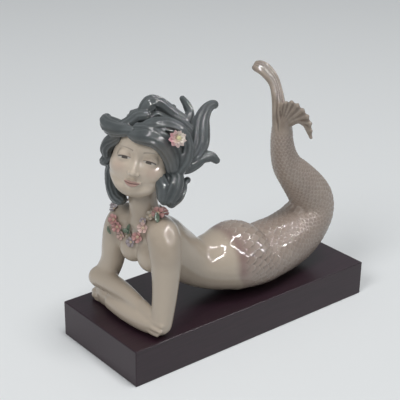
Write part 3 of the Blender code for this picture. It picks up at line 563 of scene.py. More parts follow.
def head_balls(shapes):
    """Ellipsoids written in head space."""
    place = head_frame()
    rotation = place.to_3x3().to_4x4()
    return [ball(place @ Vector(c), r, rotation) for c, r in shapes]


def head_tube(stations):
    """A tube written in head space."""
    place = head_frame()
    return loft([(*(place @ Vector(s[:3])), *s[3:]) for s in stations])


def both_sides(half):
    """Stations from one side to the middle, carried on to the other side."""
    return half + [(-s[0], *s[1:]) for s in half[-2::-1]]


def to_head(points):
    """Points of the figure in head space."""
    inverse = np.array(head_frame().inverted())
    return points @ inverse[:3, :3].T + inverse[:3, 3]


def head_forward():
    """The way she looks."""
    return np.array(head_frame().to_3x3() @ Vector((0, 1, 0)))


def carve_face(mesh):
    """Push the front of the head out and in by the face relief."""
    points = read_points(mesh)
    local = to_head(points)
    push = np.zeros(len(points))
    for x, z, sx, sz, height in FACE_RELIEF:
        for s in ((1, -1) if x else (1,)):
            across, up = (local[:, 0] - s * x) / sx, (local[:, 2] - z) / sz
            push += height * np.exp(-across ** 2 - up ** 2)
    write_points(mesh, points + np.outer(push * step(local[:, 1], *FACE_FROM), head_forward()))


def head_core():
    """The skull and jaw, fused and carved."""
    core = head_balls(HEAD_SHAPES) + [head_tube(both_sides(JAW))]
    mesh = fused(core, SKIN_GRAIN, HEAD_SOFTENING)
    carve_face(mesh)
    return mesh


def face_details():
    """Nose, lips, eyeballs and ears."""
    parts = head_balls(NOSE_SHAPES)
    parts += [head_tube(both_sides(lip)) for lip in (UPPER_LIP, LOWER_LIP)]
    for s in (1, -1):
        (x, y, z), r = EYE
        parts += head_balls([((x * s, y, z), (r, r, r))])
        parts.append(head_tube([(p[0] * s, *p[1:]) for p in EAR]))
    return parts


def hands():
    """Palms and tapering fingers."""
    parts = [loft(RIGHT_PALM, side=RIGHT_PALM_SIDE), loft(LEFT_PALM, side=LEFT_PALM_SIDE)]
    for finger in RIGHT_FINGERS + LEFT_FINGERS:
        parts.append(loft([(*p, FINGER_RADIUS * r) for p, r in zip(finger, FINGER_TAPER)]))
    return parts


def near_middle(end, t):
    """The middle of the near lobe's rib that ends there, t of the way along its edge."""
    lift = NEAR_ARCH * t ** 4
    return (np.array(FLUKE_ROOT, float) + end) / 2 + (0, -0.2 * lift, lift)


def fluke():
    """Both lobes as ribs that melt into one another in the casting, the near one with a rim."""
    parts = []
    root = np.array(FLUKE_ROOT, float)
    edge = smooth_rows(NEAR_EDGE, 8)
    count = 2 * NEAR_RIBS - 1
    for i in range(count):
        t = i / (count - 1)
        swell = RIB_RADIUS * (WEB_SHARE if i % 2 else 1)
        end = edge[round(t * (len(edge) - 1))]
        slim = swell * (1 - RIB_TAPER * t)
        parts.append(loft([(*root, swell * 1.5), (*near_middle(end, t), swell * 1.15), (*end, slim)]))
    rim = edge + (root - edge) * RIM_INSET
    taper = np.linspace(1, 1 - RIB_TAPER, len(rim)) * RIB_RADIUS * 0.9
    parts.append(loft([(*p, r) for p, r in zip(rim, taper)], steps=1))
    rows = np.array(FAR_LOBE, float)
    for i in range(FAR_RIBS):
        shift = 2 * i / (FAR_RIBS - 1) - 1
        parts.append(loft([(*p, RIB_RADIUS) for p in rows[:, :3] + shift * rows[:, 3:]]))
    return parts


def skin_mesh():
    """Body, head, hands and fluke as one fused skin."""
    arms = [LEFT_UPPER_ARM, LEFT_FOREARM, RIGHT_UPPER_ARM, RIGHT_FOREARM, NECK]
    pieces = [loft(TRUNK, side=(0, 1, 0), sides=48)]
    pieces += [loft(arm) for arm in arms]
    pieces += [ball(c, r) for c, r in CHEST]
    core = fused(pieces, SKIN_GRAIN, CORE_SOFTENING)
    parts = [core, head_core()] + face_details() + hands() + fluke()
    return fused(parts, SKIN_GRAIN, SKIN_SOFTENING)


def hair_mesh():
    """All the locks and the mass under them as one skin."""
    parts = []
    for i, (kind, stations) in enumerate(LOCKS.values()):
        look = {"facing": SIDE_FACING} if kind == "side" else {"about": HEAD_CENTRE}
        twist = HAIR_TWIST * (1 if i % 2 else -1)
        parts.append(loft(stations, sides=72, steps=9, twist=twist, **look))
    parts += head_balls(HAIR_MASS)
    return fused(parts, HAIR_GRAIN, HAIR_SOFTENING)


def spine_place(points):
    """Length along the trunk and angle round it for each point, with the trunk's girth there."""
    rows = smooth_rows(TRUNK, 60)
    centre = rows[:, :3]
    tangent = unit(np.gradient(centre, axis=0))
    side = unit(np.cross(tangent, (0, 1, 0)))
    length = np.concatenate([[0], np.cumsum(np.linalg.norm(np.diff(centre, axis=0), axis=1))])
    closest = nearest(centre)
    index = np.array([closest(p) for p in points])
    offset = points - centre[index]
    along = length[index] + np.sum(offset * tangent[index], axis=1)
    around = np.arctan2(offset[:, 1], np.sum(offset * side[index], axis=1))
    girth = 2 * math.pi * np.sqrt((rows[:, 3] ** 2 + rows[:, 4] ** 2) / 2)
    return along, around, length, girth


def scale_rows(length, girth):
    """Where each row of scales starts, how many scales it has and how long they are."""
    rows = []
    at = SCALE_START
    while at < length[-1]:
        size = np.interp(at, [SCALE_START, length[-1]], SCALE_SIZES)
        count = max(6, round(np.interp(at, length, girth) / size))
        pitch = np.interp(at, length, girth) / count * SCALE_PITCH
        rows.append((at, count, pitch))
        at += pitch
    return np.array(rows)


def scales(along, around, rows):
    """For each point: height of the scale over it, distance to that scale's free edge, and a
    number of its own for each scale."""
    first = np.searchsorted(rows[:, 0], along) - 1
    height = np.zeros(len(along))
    edge = np.full(len(along), 9.0)
    own = np.zeros(len(along))
    done = np.zeros(len(along), bool)
    for back in (2, 1, 0):
        i = np.clip(first - back, 0, len(rows) - 1)
        valid = (first - back >= 0) & ~done
        start, count, pitch = rows[i, 0], rows[i, 1], rows[i, 2]
        turn = around / (2 * math.pi) * count + 0.5 * (i % 2)
        across = turn - np.round(turn)
        reach = pitch * (1.1 + 0.95 * np.sqrt(np.clip(1 - (1.9 * across) ** 2, 0, 1)))
        gone = (along - start) / reach
        inside = valid & (gone <= 1)
        height[inside] = gone[inside]
        edge[inside] = (reach * (1 - gone))[inside]
        own[inside] = np.sin(12.9898 * np.round(turn) + 78.233 * i)[inside] * 43758.5453 % 1
        done |= inside
    return height, edge, own


def fin_ridges(points, chosen):
    """Height of the fluke's ridges at the chosen points, from -1 to 1."""
    root = np.array(FLUKE_ROOT, float)
    edge = smooth_rows(NEAR_EDGE, 12)
    lobe = smooth_rows(FAR_LOBE, 16)
    places, heights = [], []
    for i, end in enumerate(edge):
        t = i / (len(edge) - 1)
        path = smooth_rows([root, near_middle(end, t), end], 12)
        reach = np.linspace(0, 1, len(path)) ** 1.5
        places.append(path)
        heights.append(reach * math.cos(2 * math.pi * t * (NEAR_RIBS - 1)) * step(1 - t, 0.05, 0.3))
    for t in np.linspace(-1, 1, 61):
        path = lobe[:, :3] + t * lobe[:, 3:]
        places.append(path)
        heights.append(np.full(len(path), math.cos(math.pi * (t + 1) * FAR_FOLDS)))
    places, heights = np.vstack(places), np.concatenate(heights)
    closest = nearest(places)
    out = np.zeros(len(points))
    out[chosen] = [heights[closest(point)] for point in points[chosen]]
    return out


def submesh(mesh, keep, name):
    """The faces of a mesh chosen by keep, with its points, attributes and normals."""
    normals = read_normals(mesh)
    bm = bmesh.new()
    bm.from_mesh(mesh)
    bm.faces.ensure_lookup_table()
    bmesh.ops.delete(bm, geom=[f for f in bm.faces if not keep[f.index]], context="FACES")
    part = bpy.data.meshes.new(name)
    bm.to_mesh(part)
    bm.free()
    chosen = np.zeros(len(mesh.vertices), bool)
    used = face_corners(mesh)
    chosen[used[keep].ravel()] = True
    for face in part.polygons:
        face.use_smooth = True
    part.normals_split_custom_set_from_vertices(normals[chosen].tolist())
    return part


def creases(mesh, rounds):
    """How deep in a groove each point lies, in millimetres, evened out over its neighbours."""
    points, normals = read_points(mesh), read_normals(mesh)
    edges = np.empty(len(mesh.edges) * 2, int)
    mesh.edges.foreach_get("vertices", edges)
    a, b = edges.reshape(-1, 2).T
    count = np.bincount(np.concatenate([a, b]), minlength=len(points))

    def around(values):
        total = np.bincount(a, values[b], len(points)) + np.bincount(b, values[a], len(points))
        return total / count

    depth = sum((around(points[:, i]) - points[:, i]) * normals[:, i] for i in range(3))
    for _ in range(rounds):
        depth = (depth + around(depth)) / 2
    return depth


def inside_box(points):
    """Points kept inside the CAD's bounding box."""
    low, high = (np.array(corner) / MM - (0, 0, PLINTH_HEIGHT) for corner in first_bounds)
    return np.clip(points, low + BOX_MARGIN, high - BOX_MARGIN)


def face_corners(mesh):
    corners = np.empty(len(mesh.polygons) * 4, int)
    mesh.polygons.foreach_get("vertices", corners)
    return corners.reshape(-1, 4)


def face_centres(mesh):
    return read_points(mesh)[face_corners(mesh)].mean(axis=1)


def outer_faces(mesh):
    """Which faces belong to the largest connected surface."""
    corners = face_corners(mesh)
    label = np.arange(len(mesh.vertices))
    while True:
        low = label[corners].min(axis=1)
        fresh = label.copy()
        for c in range(4):
            np.minimum.at(fresh, corners[:, c], low)
        fresh = fresh[fresh]
        if (fresh == label).all():
            break
        label = fresh
    names, counts = np.unique(label[corners[:, 0]], return_counts=True)
    return label[corners[:, 0]] == names[np.argmax(counts)]


def add_fields(mesh, **fields):
    """Numbers kept at a mesh's points, which its material reads by name."""
    for name, values in fields.items():
        layer = mesh.attributes.new(name, "FLOAT", "POINT")
        layer.data.foreach_set("value", np.array(values, np.float32))


def piece(name, mesh, node, material):
    """A visible piece that stands for a CAD node, or for a part of it."""
    obj = new_object(name, mesh)
    mesh.materials.clear()
    mesh.materials.append(material)
    for face in mesh.polygons:
        face.use_smooth = True
    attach(obj, "root")
    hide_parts(node)


def seat(name, normal, spin):
    """A CAD flower or leaf in upright space: its lowest and highest corner, and the turn that
    leads back to the figure."""
    stand = Vector((0, 0, 1)).rotation_difference(Vector(normal).normalized()).to_matrix()
    turn = np.array(stand @ Matrix.Rotation(math.radians(spin), 3, "Z"))
    local = np.unique(read_points(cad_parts[name].data).round(3), axis=0) @ turn
    return local.min(axis=0), local.max(axis=0), turn


def on_foot(points, low, high):
    """Points scaled to a CAD flower's height and set on the middle of its foot."""
    points[:, 2] *= (high[2] - low[2]) / points[:, 2].max()
    return points + np.array((*((low + high)[:2] / 2), low[2]))


def petal(length, width, cup, lift, root, tip, wall, turn=0.0, across=PETAL_GRID,
          along=PETAL_GRID, point=0.75, bowl=0.5):
    """One closed petal that springs from the flower's middle. It leans outward along its
    length, bowls across its width, and its end is round or pointed."""
    u = np.linspace(0, 1, along)
    half = width / 2 * np.sin(np.pi * np.clip(root + (1 - root) * u, 0, 1) ** tip) ** point
    half = np.maximum(half, 0.06)
    v = np.linspace(-1, 1, across)
    points = []
    for side in (0, 1):
        for i, t in enumerate(u):
            x = length * (0.1 + 0.9 * t) - 0.18 * cup * length * (t ** 3)
            rise = lift * length * t + cup * length * (t ** 2) * 0.5
            y = v * half[i]
            lip = bowl * half[i] * v ** 2
            thick = wall * (0.35 + 0.65 * np.sqrt(np.clip(1 - (0.96 * v) ** 2, 0, 1)))
            thick *= 0.5 + 0.5 * np.sin(np.pi * (0.12 + 0.8 * t))
            offset = thick if side else 0
            points.extend(np.stack([x + 0 * y, y, rise + lip + offset], axis=1))
    n = along * across
    faces = []
    for i in range(along - 1):
        for j in range(across - 1):
            a, b = i * across + j, i * across + j + 1
            c, d = a + across, b + across
            faces.append((a, c, d, b))
            faces.append((n + a, n + b, n + d, n + c))
    for i in range(along - 1):
        a, c = i * across, (i + 1) * across
        faces.append((a, n + a, n + c, c))
        b, d = a + across - 1, c + across - 1
        faces.append((b, d, n + d, n + b))
    for j in range(across - 1):
        faces.append((j, j + 1, n + j + 1, n + j))
        a = (along - 1) * across + j
        faces.append((a, n + a, n + a + 1, a + 1))
    points = np.array(points)
    c, s = math.cos(turn), math.sin(turn)
    return points @ np.array(((c, s, 0), (-s, c, 0), (0, 0, 1))), faces


def bead(centre, radius):
    """A small flattened ball."""
    points = []
    for a in np.linspace(math.pi, 0, BEAD_RINGS + 1)[1:-1]:
        for b in np.arange(BEAD_SIDES) * 2 * math.pi / BEAD_SIDES:
            points.append((math.sin(a) * math.cos(b), math.sin(a) * math.sin(b), math.cos(a)))
    points += [(0, 0, -1), (0, 0, 1)]
    size = (radius, radius, radius * BEAD_SQUASH)
    return np.array(points) * size + centre, tube_faces(BEAD_RINGS - 1, BEAD_SIDES)


def gathered(parts):
    """The points and faces of several closed parts as one list of each."""
    points, faces = [], []
    base = 0
    for p, f in parts:
        points.append(p)
        faces += [tuple(base + i for i in face) for face in f]
        base += len(p)
    return np.vstack(points), faces


def flower(name, radius, normal, spin, kind, index):
    """A garland flower of rounded cupped petals round a small centre."""
    low, high, turn = seat(name, normal, spin)
    petals = []
    for i in range(FLOWER_PETALS):
        uneven = 1 + 0.05 * math.sin(7.1 * i + 2.3 * index)
        around = 2 * math.pi * i / FLOWER_PETALS + 0.06 * math.sin(3.7 * i + index)
        size = radius * 1.1 * uneven
        petals.append(petal(size, radius * 0.9, cup=0.7, lift=0.12, root=0.1, tip=2.0, wall=PETAL_WALL,
                            turn=around, bowl=0.8))
    middle = [bead(np.array((0, 0, radius * 0.16)), radius * 0.2)]
    for i in range(FLOWER_PETALS):
        a = 2 * math.pi * (i + 0.5) / FLOWER_PETALS
        centre = radius * np.array((0.24 * math.cos(a), 0.24 * math.sin(a), 0.26))
        middle.append(bead(centre, radius * 0.09))
    points, faces = gathered(petals + middle)
    mesh = make_mesh(name, on_foot(points, low, high) @ turn.T, faces)
    piece(f"{name}_petals", mesh, name, MATERIALS[kind])
    mesh.materials.append(MATERIALS["centre"])
    petal_faces = sum(len(f) for _, f in petals)
    mesh.polygons.foreach_set("material_index", [int(i >= petal_faces) for i in range(len(faces))])
    # How far across its petal each point lies, for the painted shade along the sides.
    rows = FLOWER_PETALS * 2 * PETAL_GRID
    side = np.zeros(len(points))
    side[:rows * PETAL_GRID] = np.tile(np.abs(np.linspace(-1, 1, PETAL_GRID)), rows)
    add_fields(mesh, out=np.linalg.norm(points[:, :2], axis=1) / radius, side=side)


def leaf(name, length, normal, spin):
    """A garland leaf with a creased middle and a pointed end, stretched over its CAD node."""
    low, high, turn = seat(name, normal, spin)
    points, faces = petal(length, length * LEAF_WIDTH * 1.5, cup=0.35, lift=0.08, root=0.08, tip=1.0,
                          wall=0.7, along=14)
    points[:, 2] += 0.25 * np.abs(points[:, 1])
    points -= points.min(axis=0)
    points *= (high - low) / points.max(axis=0)
    mesh = make_mesh(name, (points + low) @ turn.T, faces)
    piece(f"{name}_blade", mesh, name, MATERIALS["leaf"])


def lily_ring(petals, radius, turned):
    """A ring of slender pointed petals."""
    parts = []
    for i in range(petals):
        around = 2 * math.pi * (i + turned) / petals
        size = radius * (1 - 0.07 * (1 + math.sin(5.3 * i + petals)))
        parts.append(petal(size, radius * 0.56, cup=0.5, lift=0.75, root=0.1, tip=0.85, wall=0.5,
                           turn=around, across=7, along=12, point=1.05, bowl=0.7))
    return parts


def lily_heart(radius):
    """A ball set with small beads in a spiral."""
    parts = [bead(np.array((0, 0, radius * 0.5)), radius * 0.75)]
    for i in range(HEART_BEADS):
        a = i * 2.4
        r = radius * 0.85 * math.sqrt((i + 1) / HEART_BEADS)
        centre = np.array((r * math.cos(a), r * math.sin(a), radius - 0.35 * r))
        parts.append(bead(centre, radius * 0.2))
    return parts


def lily(kind, parts, radius, petals=0):
    """One ring of the hair flower's petals, or its heart, set over its CAD node."""
    name = f"hair_flower_{kind}"
    low, high, turn = seat(name, HAIR_FLOWER_FACES, 0)
    points, faces = gathered(parts)
    points[:, 2] -= points[:, 2].min()
    mesh = make_mesh(name, on_foot(points, low, high) @ turn.T, faces)
    piece(f"{name}_petals", mesh, name, MATERIALS[kind])
    add_fields(mesh, out=np.linalg.norm(points[:, :2], axis=1) / radius)
    if petals:
        outsides = np.arange(len(points)) // (len(points) // petals // 2) % 2 == 1
        away = points[:, :2] @ (np.array(LILY_PINK_SIDE) @ turn)[:2] / radius
        add_fields(mesh, flush=np.clip(0.45 + 0.9 * away, 0, 1) * np.where(outsides, 0.75, 1.0))


class Nodes:
    """A short way to write a material's nodes."""

    def __init__(self, name):
        self.material = bpy.data.materials.new(name)
        self.material.use_nodes = True
        self.tree = self.material.node_tree
        self.shader = self.tree.nodes["Principled BSDF"]

    def add(self, kind, **values):
        node = self.tree.nodes.new(kind)
        for key, value in values.items():
            setattr(node, key, value)
        return node

    def feed(self, node, inputs):
        """Links or sets a node's inputs. Colours are given without their alpha."""
        for key, value in inputs.items():
            into = node.inputs[key]
            if isinstance(value, bpy.types.NodeSocket):
                self.tree.links.new(value, into)
            else:
                into.default_value = (*value, 1) if into.type == "RGBA" else value
        return node

    def read(self, name):
        return self.add("ShaderNodeAttribute", attribute_name=name).outputs["Fac"]

    def math(self, operation, a, b=0.0):
        return self.feed(self.add("ShaderNodeMath", operation=operation), {0: a, 1: b}).outputs[0]

    def ramp(self, value, low, high, out_low=0.0, out_high=1.0):
        """From out_low to out_high while the value goes from low to high, smooth between."""
        node = self.add("ShaderNodeMapRange", interpolation_type="SMOOTHSTEP")
        self.feed(node, {"Value": value, "From Min": low, "From Max": high})
        return self.feed(node, {"To Min": out_low, "To Max": out_high}).outputs["Result"]

    def noise(self, size, detail=2.0):
        """Noise over the piece, with spots of about that many millimetres."""
        where = self.add("ShaderNodeTexCoord").outputs["Object"]
        node = self.add("ShaderNodeTexNoise")
        self.feed(node, {"Vector": where, "Scale": 1 / (size * MM), "Detail": detail})
        return node.outputs["Fac"]

    def mix(self, factor, a, b):
        """From colour a to colour b by the factor."""
        node = self.add("ShaderNodeMix", data_type="RGBA")
        return self.feed(node, {"Factor": factor, 6: a, 7: b}).outputs[2]

    def mottled(self, size, a, b, detail=2.0, low=0.35, high=0.65):
        """Spots of two colours, of about that many millimetres."""
        return self.mix(self.ramp(self.noise(size, detail), low, high), a, b)

    def painted(self, colour, *coats):
        """The colour under coats of paint. A coat is the name of a field, its lowest and
        highest value, how strong the coat is at each of them, and the coat's colour."""
        for name, low, high, out_low, out_high, tone in coats:
            colour = self.mix(self.ramp(self.read(name), low, high, out_low, out_high), colour, tone)
        return colour

    def bump(self, height, strength, distance):
        node = self.add("ShaderNodeBump")
        self.feed(node, {"Height": height, "Strength": strength, "Distance": distance * MM})
        self.feed(self.shader, {"Normal": node.outputs["Normal"]})

    def glazed(self, colour, coat=1.0):
        """A satin body under a clear glaze whose surface is a little wavy."""
        fine = self.math("MULTIPLY", self.noise(0.9, 3.0), 0.06)
        self.bump(self.math("ADD", self.noise(4.5, 1.0), fine), 1.0, GLAZE_WAVES)
        return self.finish(colour, 0.45, coat, 0.1)

    def finish(self, colour, roughness, coat=0.0, specular=0.5):
        self.feed(self.shader, {"Base Color": colour, "Roughness": roughness, "Coat Weight": coat,
                                "Coat Roughness": GLAZE_ROUGHNESS, "Specular IOR Level": specular})
        return self.material


def skin_material():
    """Glazed skin that turns to the tail's mauve brown past the hips."""
    n = Nodes("glazed_skin")
    # The paler tone on the back and forearms is painted light.
    skin = n.mix(n.read("fair"), n.mottled(26, *SKIN_TONES), PAINTED_LIGHT_TONE)
    tail = n.mottled(30, (0.315, 0.25, 0.21), (0.368, 0.3, 0.252))
    # Each scale has a tone of its own, painted shade where it starts under the free edge of the scale
    # before, and a painted highlight along its own raised free edge.
    scale = n.painted(tail,
                      ("own", 0.0, 1.0, 0.0, 0.3, (0.3, 0.235, 0.2)),
                      ("high", 0.1, 0.7, 0.6, 0.0, (0.18, 0.14, 0.12)),
                      ("edge", 0.3, 1.6, 0.6, 0.0, (0.47, 0.4, 0.34)))
    tail = n.mix(n.read("scaled"), tail, scale)
    tail = n.mix(n.read("blush"), tail, (0.25, 0.165, 0.145))
    fin = n.mottled(9, (0.28, 0.228, 0.187), (0.345, 0.287, 0.235), 3.0)
    # Painted shade in the fluke's furrows between its ribs.
    fin = n.painted(fin, ("furrow", 0.3, 1.0, 0.0, 0.75, (0.165, 0.13, 0.105)))
    colour = n.mix(n.read("fin"), n.mix(n.read("tail"), skin, tail), fin)
    # Painted shade: the skin is darker in its creases.
    return n.glazed(n.painted(colour, ("crease", 0.02, 0.12, 0.0, 0.6, (0.19, 0.14, 0.11))))


def face_material():
    """Glazed skin with softly painted brows, lids, eyes and lips."""
    n = Nodes("glazed_face")
    # The front of the face is painted paler, partly its own tone and partly painted light.
    skin = n.mix(n.read("pale"), n.mottled(26, *SKIN_TONES), (0.62, 0.53, 0.43))
    skin = n.mix(n.read("cheek"), skin, (0.5, 0.32, 0.26))
    eye = n.painted((0.5, 0.46, 0.41), ("iris", -0.3, 0.3, 0.0, 1.0, (0.075, 0.06, 0.05)))
    return n.glazed(n.painted(skin,
                              ("lips", -0.35, 0.45, 0.0, 0.75, (0.40, 0.215, 0.19)),
                              ("mouth", 0.15, 0.6, 0.7, 0.0, (0.17, 0.085, 0.075)),
                              ("brow", -0.5, 0.5, 0.0, 0.5, (0.13, 0.1, 0.085)),
                              ("lid", -1.5, 1.5, 0.0, 0.25, (0.3, 0.21, 0.175)),
                              ("open", -0.15, 0.25, 0.0, 1.0, eye),
                              ("lash", -0.3, 0.3, 0.0, 0.9, (0.045, 0.032, 0.028))))


def hair_material():
    """Dark grey glaze with painted shade in the grooves and painted highlights on the ridges, warmer by
    the face.
    """
    n = Nodes("glazed_hair")
    base = n.mottled(18, (0.066, 0.075, 0.077), (0.094, 0.105, 0.108), 3.0, 0.3, 0.7)
    base = n.painted(base,
                     # Painted shade in the grooves, then painted highlights on the ridges.
                     ("crease", -0.03, 0.06, 0.0, 0.6, (0.03, 0.035, 0.036)),
                     ("crease", -0.09, -0.02, 0.45, 0.0, (0.16, 0.175, 0.178)))
    return n.glazed(n.mix(n.read("warm"), base, (0.15, 0.13, 0.11)), 0.9)


def petal_material(name, inner, outer):
    """Matt petals, mottled towards their ends, with painted shade along their sides."""
    n = Nodes(name)
    mottled = n.mix(n.ramp(n.noise(2.5), 0.3, 0.7, 0.0, 0.3), outer, inner)
    # Painted shade along the petals' sides, as a darker copy of their inner colour.
    dark = tuple(0.45 * c for c in inner)
    colour = n.painted(inner, ("out", 0.3, 0.95, 0.0, 1.0, mottled), ("side", 0.55, 1.0, 0.0, 0.7, dark))
    n.bump(n.noise(0.7), 0.05, 0.2)
    return n.finish(colour, 0.35, 0.2)


def lily_material(name, pale, pink):
    """Pale petals whose outsides and one side of the flower are flushed with pink."""
    n = Nodes(name)
    tint = n.mix(n.ramp(n.noise(2.5), 0.3, 0.7, 0.0, 0.25), pink, pale)
    colour = n.painted(pale,
                       ("flush", 0.1, 0.9, 0.0, 1.0, tint),
                       ("out", 0.8, 1.02, 0.0, 0.6, (0.78, 0.66, 0.64)),
                       ("out", 0.1, 0.45, 0.8, 0.0, (0.62, 0.58, 0.36)))
    n.bump(n.noise(0.7), 0.05, 0.2)
    return n.finish(colour, 0.35, 0.2)


def leaf_material():
    """Two greens with a satin finish."""
    n = Nodes("leaf_green")
    colour = n.mottled(2.0, (0.085, 0.125, 0.085), (0.17, 0.22, 0.155), 3.0, 0.3, 0.7)
    n.bump(n.noise(0.8), 0.08, 0.2)
    return n.finish(colour, 0.3, 0.3)


def wood_material():
    """Dark wine-brown lacquer over fine straight grain."""
    n = Nodes("plinth_wood")
    where = n.add("ShaderNodeTexCoord").outputs["Object"]
    stretch = n.feed(n.add("ShaderNodeMapping"), {"Vector": where, "Scale": (30, 900, 900)})
    noise = n.add("ShaderNodeTexNoise")
    n.feed(noise, {"Vector": stretch.outputs["Vector"], "Scale": 1.0, "Detail": 5.0})
    grain = noise.outputs["Fac"]
    colour = n.mix(n.ramp(grain, 0.3, 0.7), (0.017, 0.0065, 0.012), (0.027, 0.0105, 0.0185))
    n.bump(grain, 0.03, 0.15)
    return n.finish(colour, 0.32)


MATERIALS = {kind: petal_material(f"{kind}_petals", *pair) for kind, pair in PETAL_COLOURS.items()}
MATERIALS["centre"] = petal_material("flower_centres", (0.62, 0.5, 0.36), (0.56, 0.4, 0.3))
MATERIALS["leaf"] = leaf_material()
MATERIALS["outer"] = lily_material("lily_petals", (0.76, 0.66, 0.62), (0.66, 0.29, 0.34))
MATERIALS["inner"] = lily_material("lily_inner", (0.78, 0.72, 0.64), (0.7, 0.42, 0.42))
MATERIALS["heart"] = petal_material("lily_heart", (0.56, 0.52, 0.26), (0.62, 0.6, 0.4))


def face_fields(local):
    """Relief and paint fields of the face for points in head space, in millimetres."""
    x, y, z = local.T
    front = step(y, 8, 14)
    relief = np.zeros(len(x))
    fields = {}
    # Mouth: the line where the lips meet, and the fullness of each lip
    line = -20.5 + 0.012 * x ** 2
    upper = 2.5 * np.clip(1 - (x / 7.7) ** 2, 0, 1) * (1 - 0.22 * np.exp(-x ** 2 / 1.4))
    lower = 3.0 * np.clip(1 - (x / 6.6) ** 2, 0, 1) ** 0.8
    above = np.clip((z - line) / np.maximum(upper, 0.05), 0, 1)
    below = np.clip((line - z) / np.maximum(lower, 0.05), 0, 1)
    relief += 0.5 * np.sin(math.pi * above) * (upper > 0.3)
    relief += 0.6 * np.sin(math.pi * below) * (lower > 0.3)
    relief -= 0.55 * np.exp(-((z - line) / 0.5) ** 2) * step(7.9 - np.abs(x), 0, 1.2)
    fields["lips"] = np.where(z > line, upper - (z - line), lower - (line - z)) - 3 * (1 - front)
    fields["mouth"] = np.abs(z - line) + 3 * step(np.abs(x), 6.6, 7.8) + 3 * (1 - front)
    # Eyes and brows, each with its field above 0 inside
    opening, lash, iris, lid, brow = np.full((5, len(x)), -9.0)
    for s in (1, -1):
        u = s * x - EYE_SPACING
        arch = np.clip(1 - (u / EYE_HALF) ** 2, -1, 1)
        top = EYE_TOP + 1.15 * arch - 0.05 * u
        low = EYE_LOW - 0.75 * arch - 0.03 * u
        within = step(EYE_HALF + 0.4 - np.abs(u), 0, 0.9)
        relief += 0.42 * within * step(z - top, -0.15, 0.35) * (1 - step(z - top, 1.0, 4.5))
        relief += 0.22 * within * step(low - z, -0.1, 0.3) * (1 - step(low - z, 0.4, 2.2))
        relief -= 0.35 * within * np.exp(-((z - top - 3.0 + 0.03 * u ** 2) / 0.55) ** 2)
        opening = np.maximum(opening, np.minimum(np.minimum(top - z, z - low), EYE_HALF - np.abs(u)))
        thick = 0.42 + 0.06 * np.clip(u, -3, 6)
        lash = np.maximum(lash, thick - np.abs(z - top) - 2 * np.clip(np.abs(u - 0.3) - EYE_HALF, 0, 9))
        iris = np.maximum(iris, IRIS_RADIUS - np.hypot(u + 0.2, z - (EYE_TOP - 0.6)))
        lid = np.maximum(lid, 1.6 - np.abs(z - top - 1.2) - 2 * np.clip(np.abs(u) - EYE_HALF + 1, 0, 9))
        rise = BROW_HEIGHT + 1.3 * (1 - ((u - 1.0) / 7.5) ** 2)
        ends = 2 * np.clip(np.abs(u - 0.6) - 6.6, 0, 9)
        brow = np.maximum(brow, 0.75 - 0.06 * (u + 6) - np.abs(z - rise) - ends)
    # Nostrils
    for s in (1, -1):
        relief -= 0.9 * np.exp(-((x - 2.0 * s) / 1.0) ** 2 - ((z + 14.1) / 0.8) ** 2)
    fields["iris"] = iris
    for name, field in (("open", opening), ("lash", lash), ("lid", lid), ("brow", brow)):
        fields[name] = field * front - 2 * (1 - front)
    # Paler skin on the front of the face, partly its own tone and partly painted light, and a blush on
    # the cheeks
    cheeks = sum(np.exp(-((x - 14.5 * s) / 6.5) ** 2 - ((z + 9.5) / 5.5) ** 2) for s in (1, -1))
    fields["pale"] = 0.75 * step(y, 2, 12) * step(z, -32, -24)
    fields["cheek"] = 0.35 * cheeks * front
    return relief * front, fields


def build_skin():
    """Body, tail, fluke and head, in pieces of one skin with its relief and paint."""
    mesh = skin_mesh()
    points = read_points(mesh)
    along, around, length, girth = spine_place(points)
    high, edge, own = scales(along, around, scale_rows(length, girth))
    past = along - np.interp(np.abs(around), *zip(*ONSET))
    body = step(points[:, 0], *TAIL_FROM)
    tail = step(past, -2, 3) * body
    fin = step(points[:, 2], *FIN_FROM) * body
    scaled = step(past, 5, 15) * body * (1 - fin)
    relief = np.interp(along, [SCALE_START, length[-1]], SCALE_RELIEFS)
    amount = relief * scaled * (0.5 + 0.5 * step(past, 6, 26)) * step(points[:, 2], 0.5, 3)
    ridges = fin_ridges(points, fin > 0)
    push = (high - 0.8) * amount + FIN_RELIEF * fin * (ridges - 1) / 2
    write_points(mesh, inside_box(points + read_normals(mesh) * push[:, None]))
    flanks = step(-np.abs(np.abs(around) - 0.85), -1.3, -0.7)
    add_fields(
        mesh, tail=tail, scaled=scaled, fin=fin, edge=edge, own=own, high=high,
        # painted light on the back and forearms
        fair=np.maximum(step(points[:, 0], *PAINTED_LIGHT_BACK), 1 - step(points[:, 2], *PAINTED_LIGHT_FOREARMS)),
        # painted shade in the fluke's furrows
        furrow=fin * (1 - ridges) / 2,
        # groove depth, for painted shade in the skin's creases
        crease=creases(mesh, 2) * (1 - scaled),
        blush=np.exp(-((past - 5) / 7) ** 2) * tail * flanks)
    centres = face_centres(mesh)
    keep = outer_faces(mesh) & (centres[:, 2] > SEAT_GAP)
    neck = np.sum((centres - np.array(NECK_CUT)) * unit(np.array(NECK_AXIS, float)), axis=1) > 0
    head = neck & (centres[:, 0] < HEAD_SIDE_X)
    ahead = to_head(centres)[:, 1] > BACK_OF_HEAD
    rear = ~head & (centres[:, 0] >= WAIST_X)
    parts = {
        "skin_front": ~head & (centres[:, 0] < WAIST_X),
        "skin_hips": rear & (centres[:, 2] < HIP_TOP),
        "skin_tail": rear & (centres[:, 2] >= HIP_TOP),
        "head_back": head & ~ahead,
    }
    material = skin_material()
    for name, chosen in parts.items():
        piece(name, submesh(mesh, keep & chosen, name), "mermaid", material)
    finer = new_object("head", submesh(mesh, keep & head & ahead, "head"))
    split = finer.modifiers.new("finer", "SUBSURF")
    split.levels = 1
    split.render_levels = 1
    face = modified(finer)
    points = read_points(face)
    relief, fields = face_fields(to_head(points))
    write_points(face, points + np.outer(relief, head_forward()))
    add_fields(face, **fields)
    piece("head", face, "mermaid", face_material())


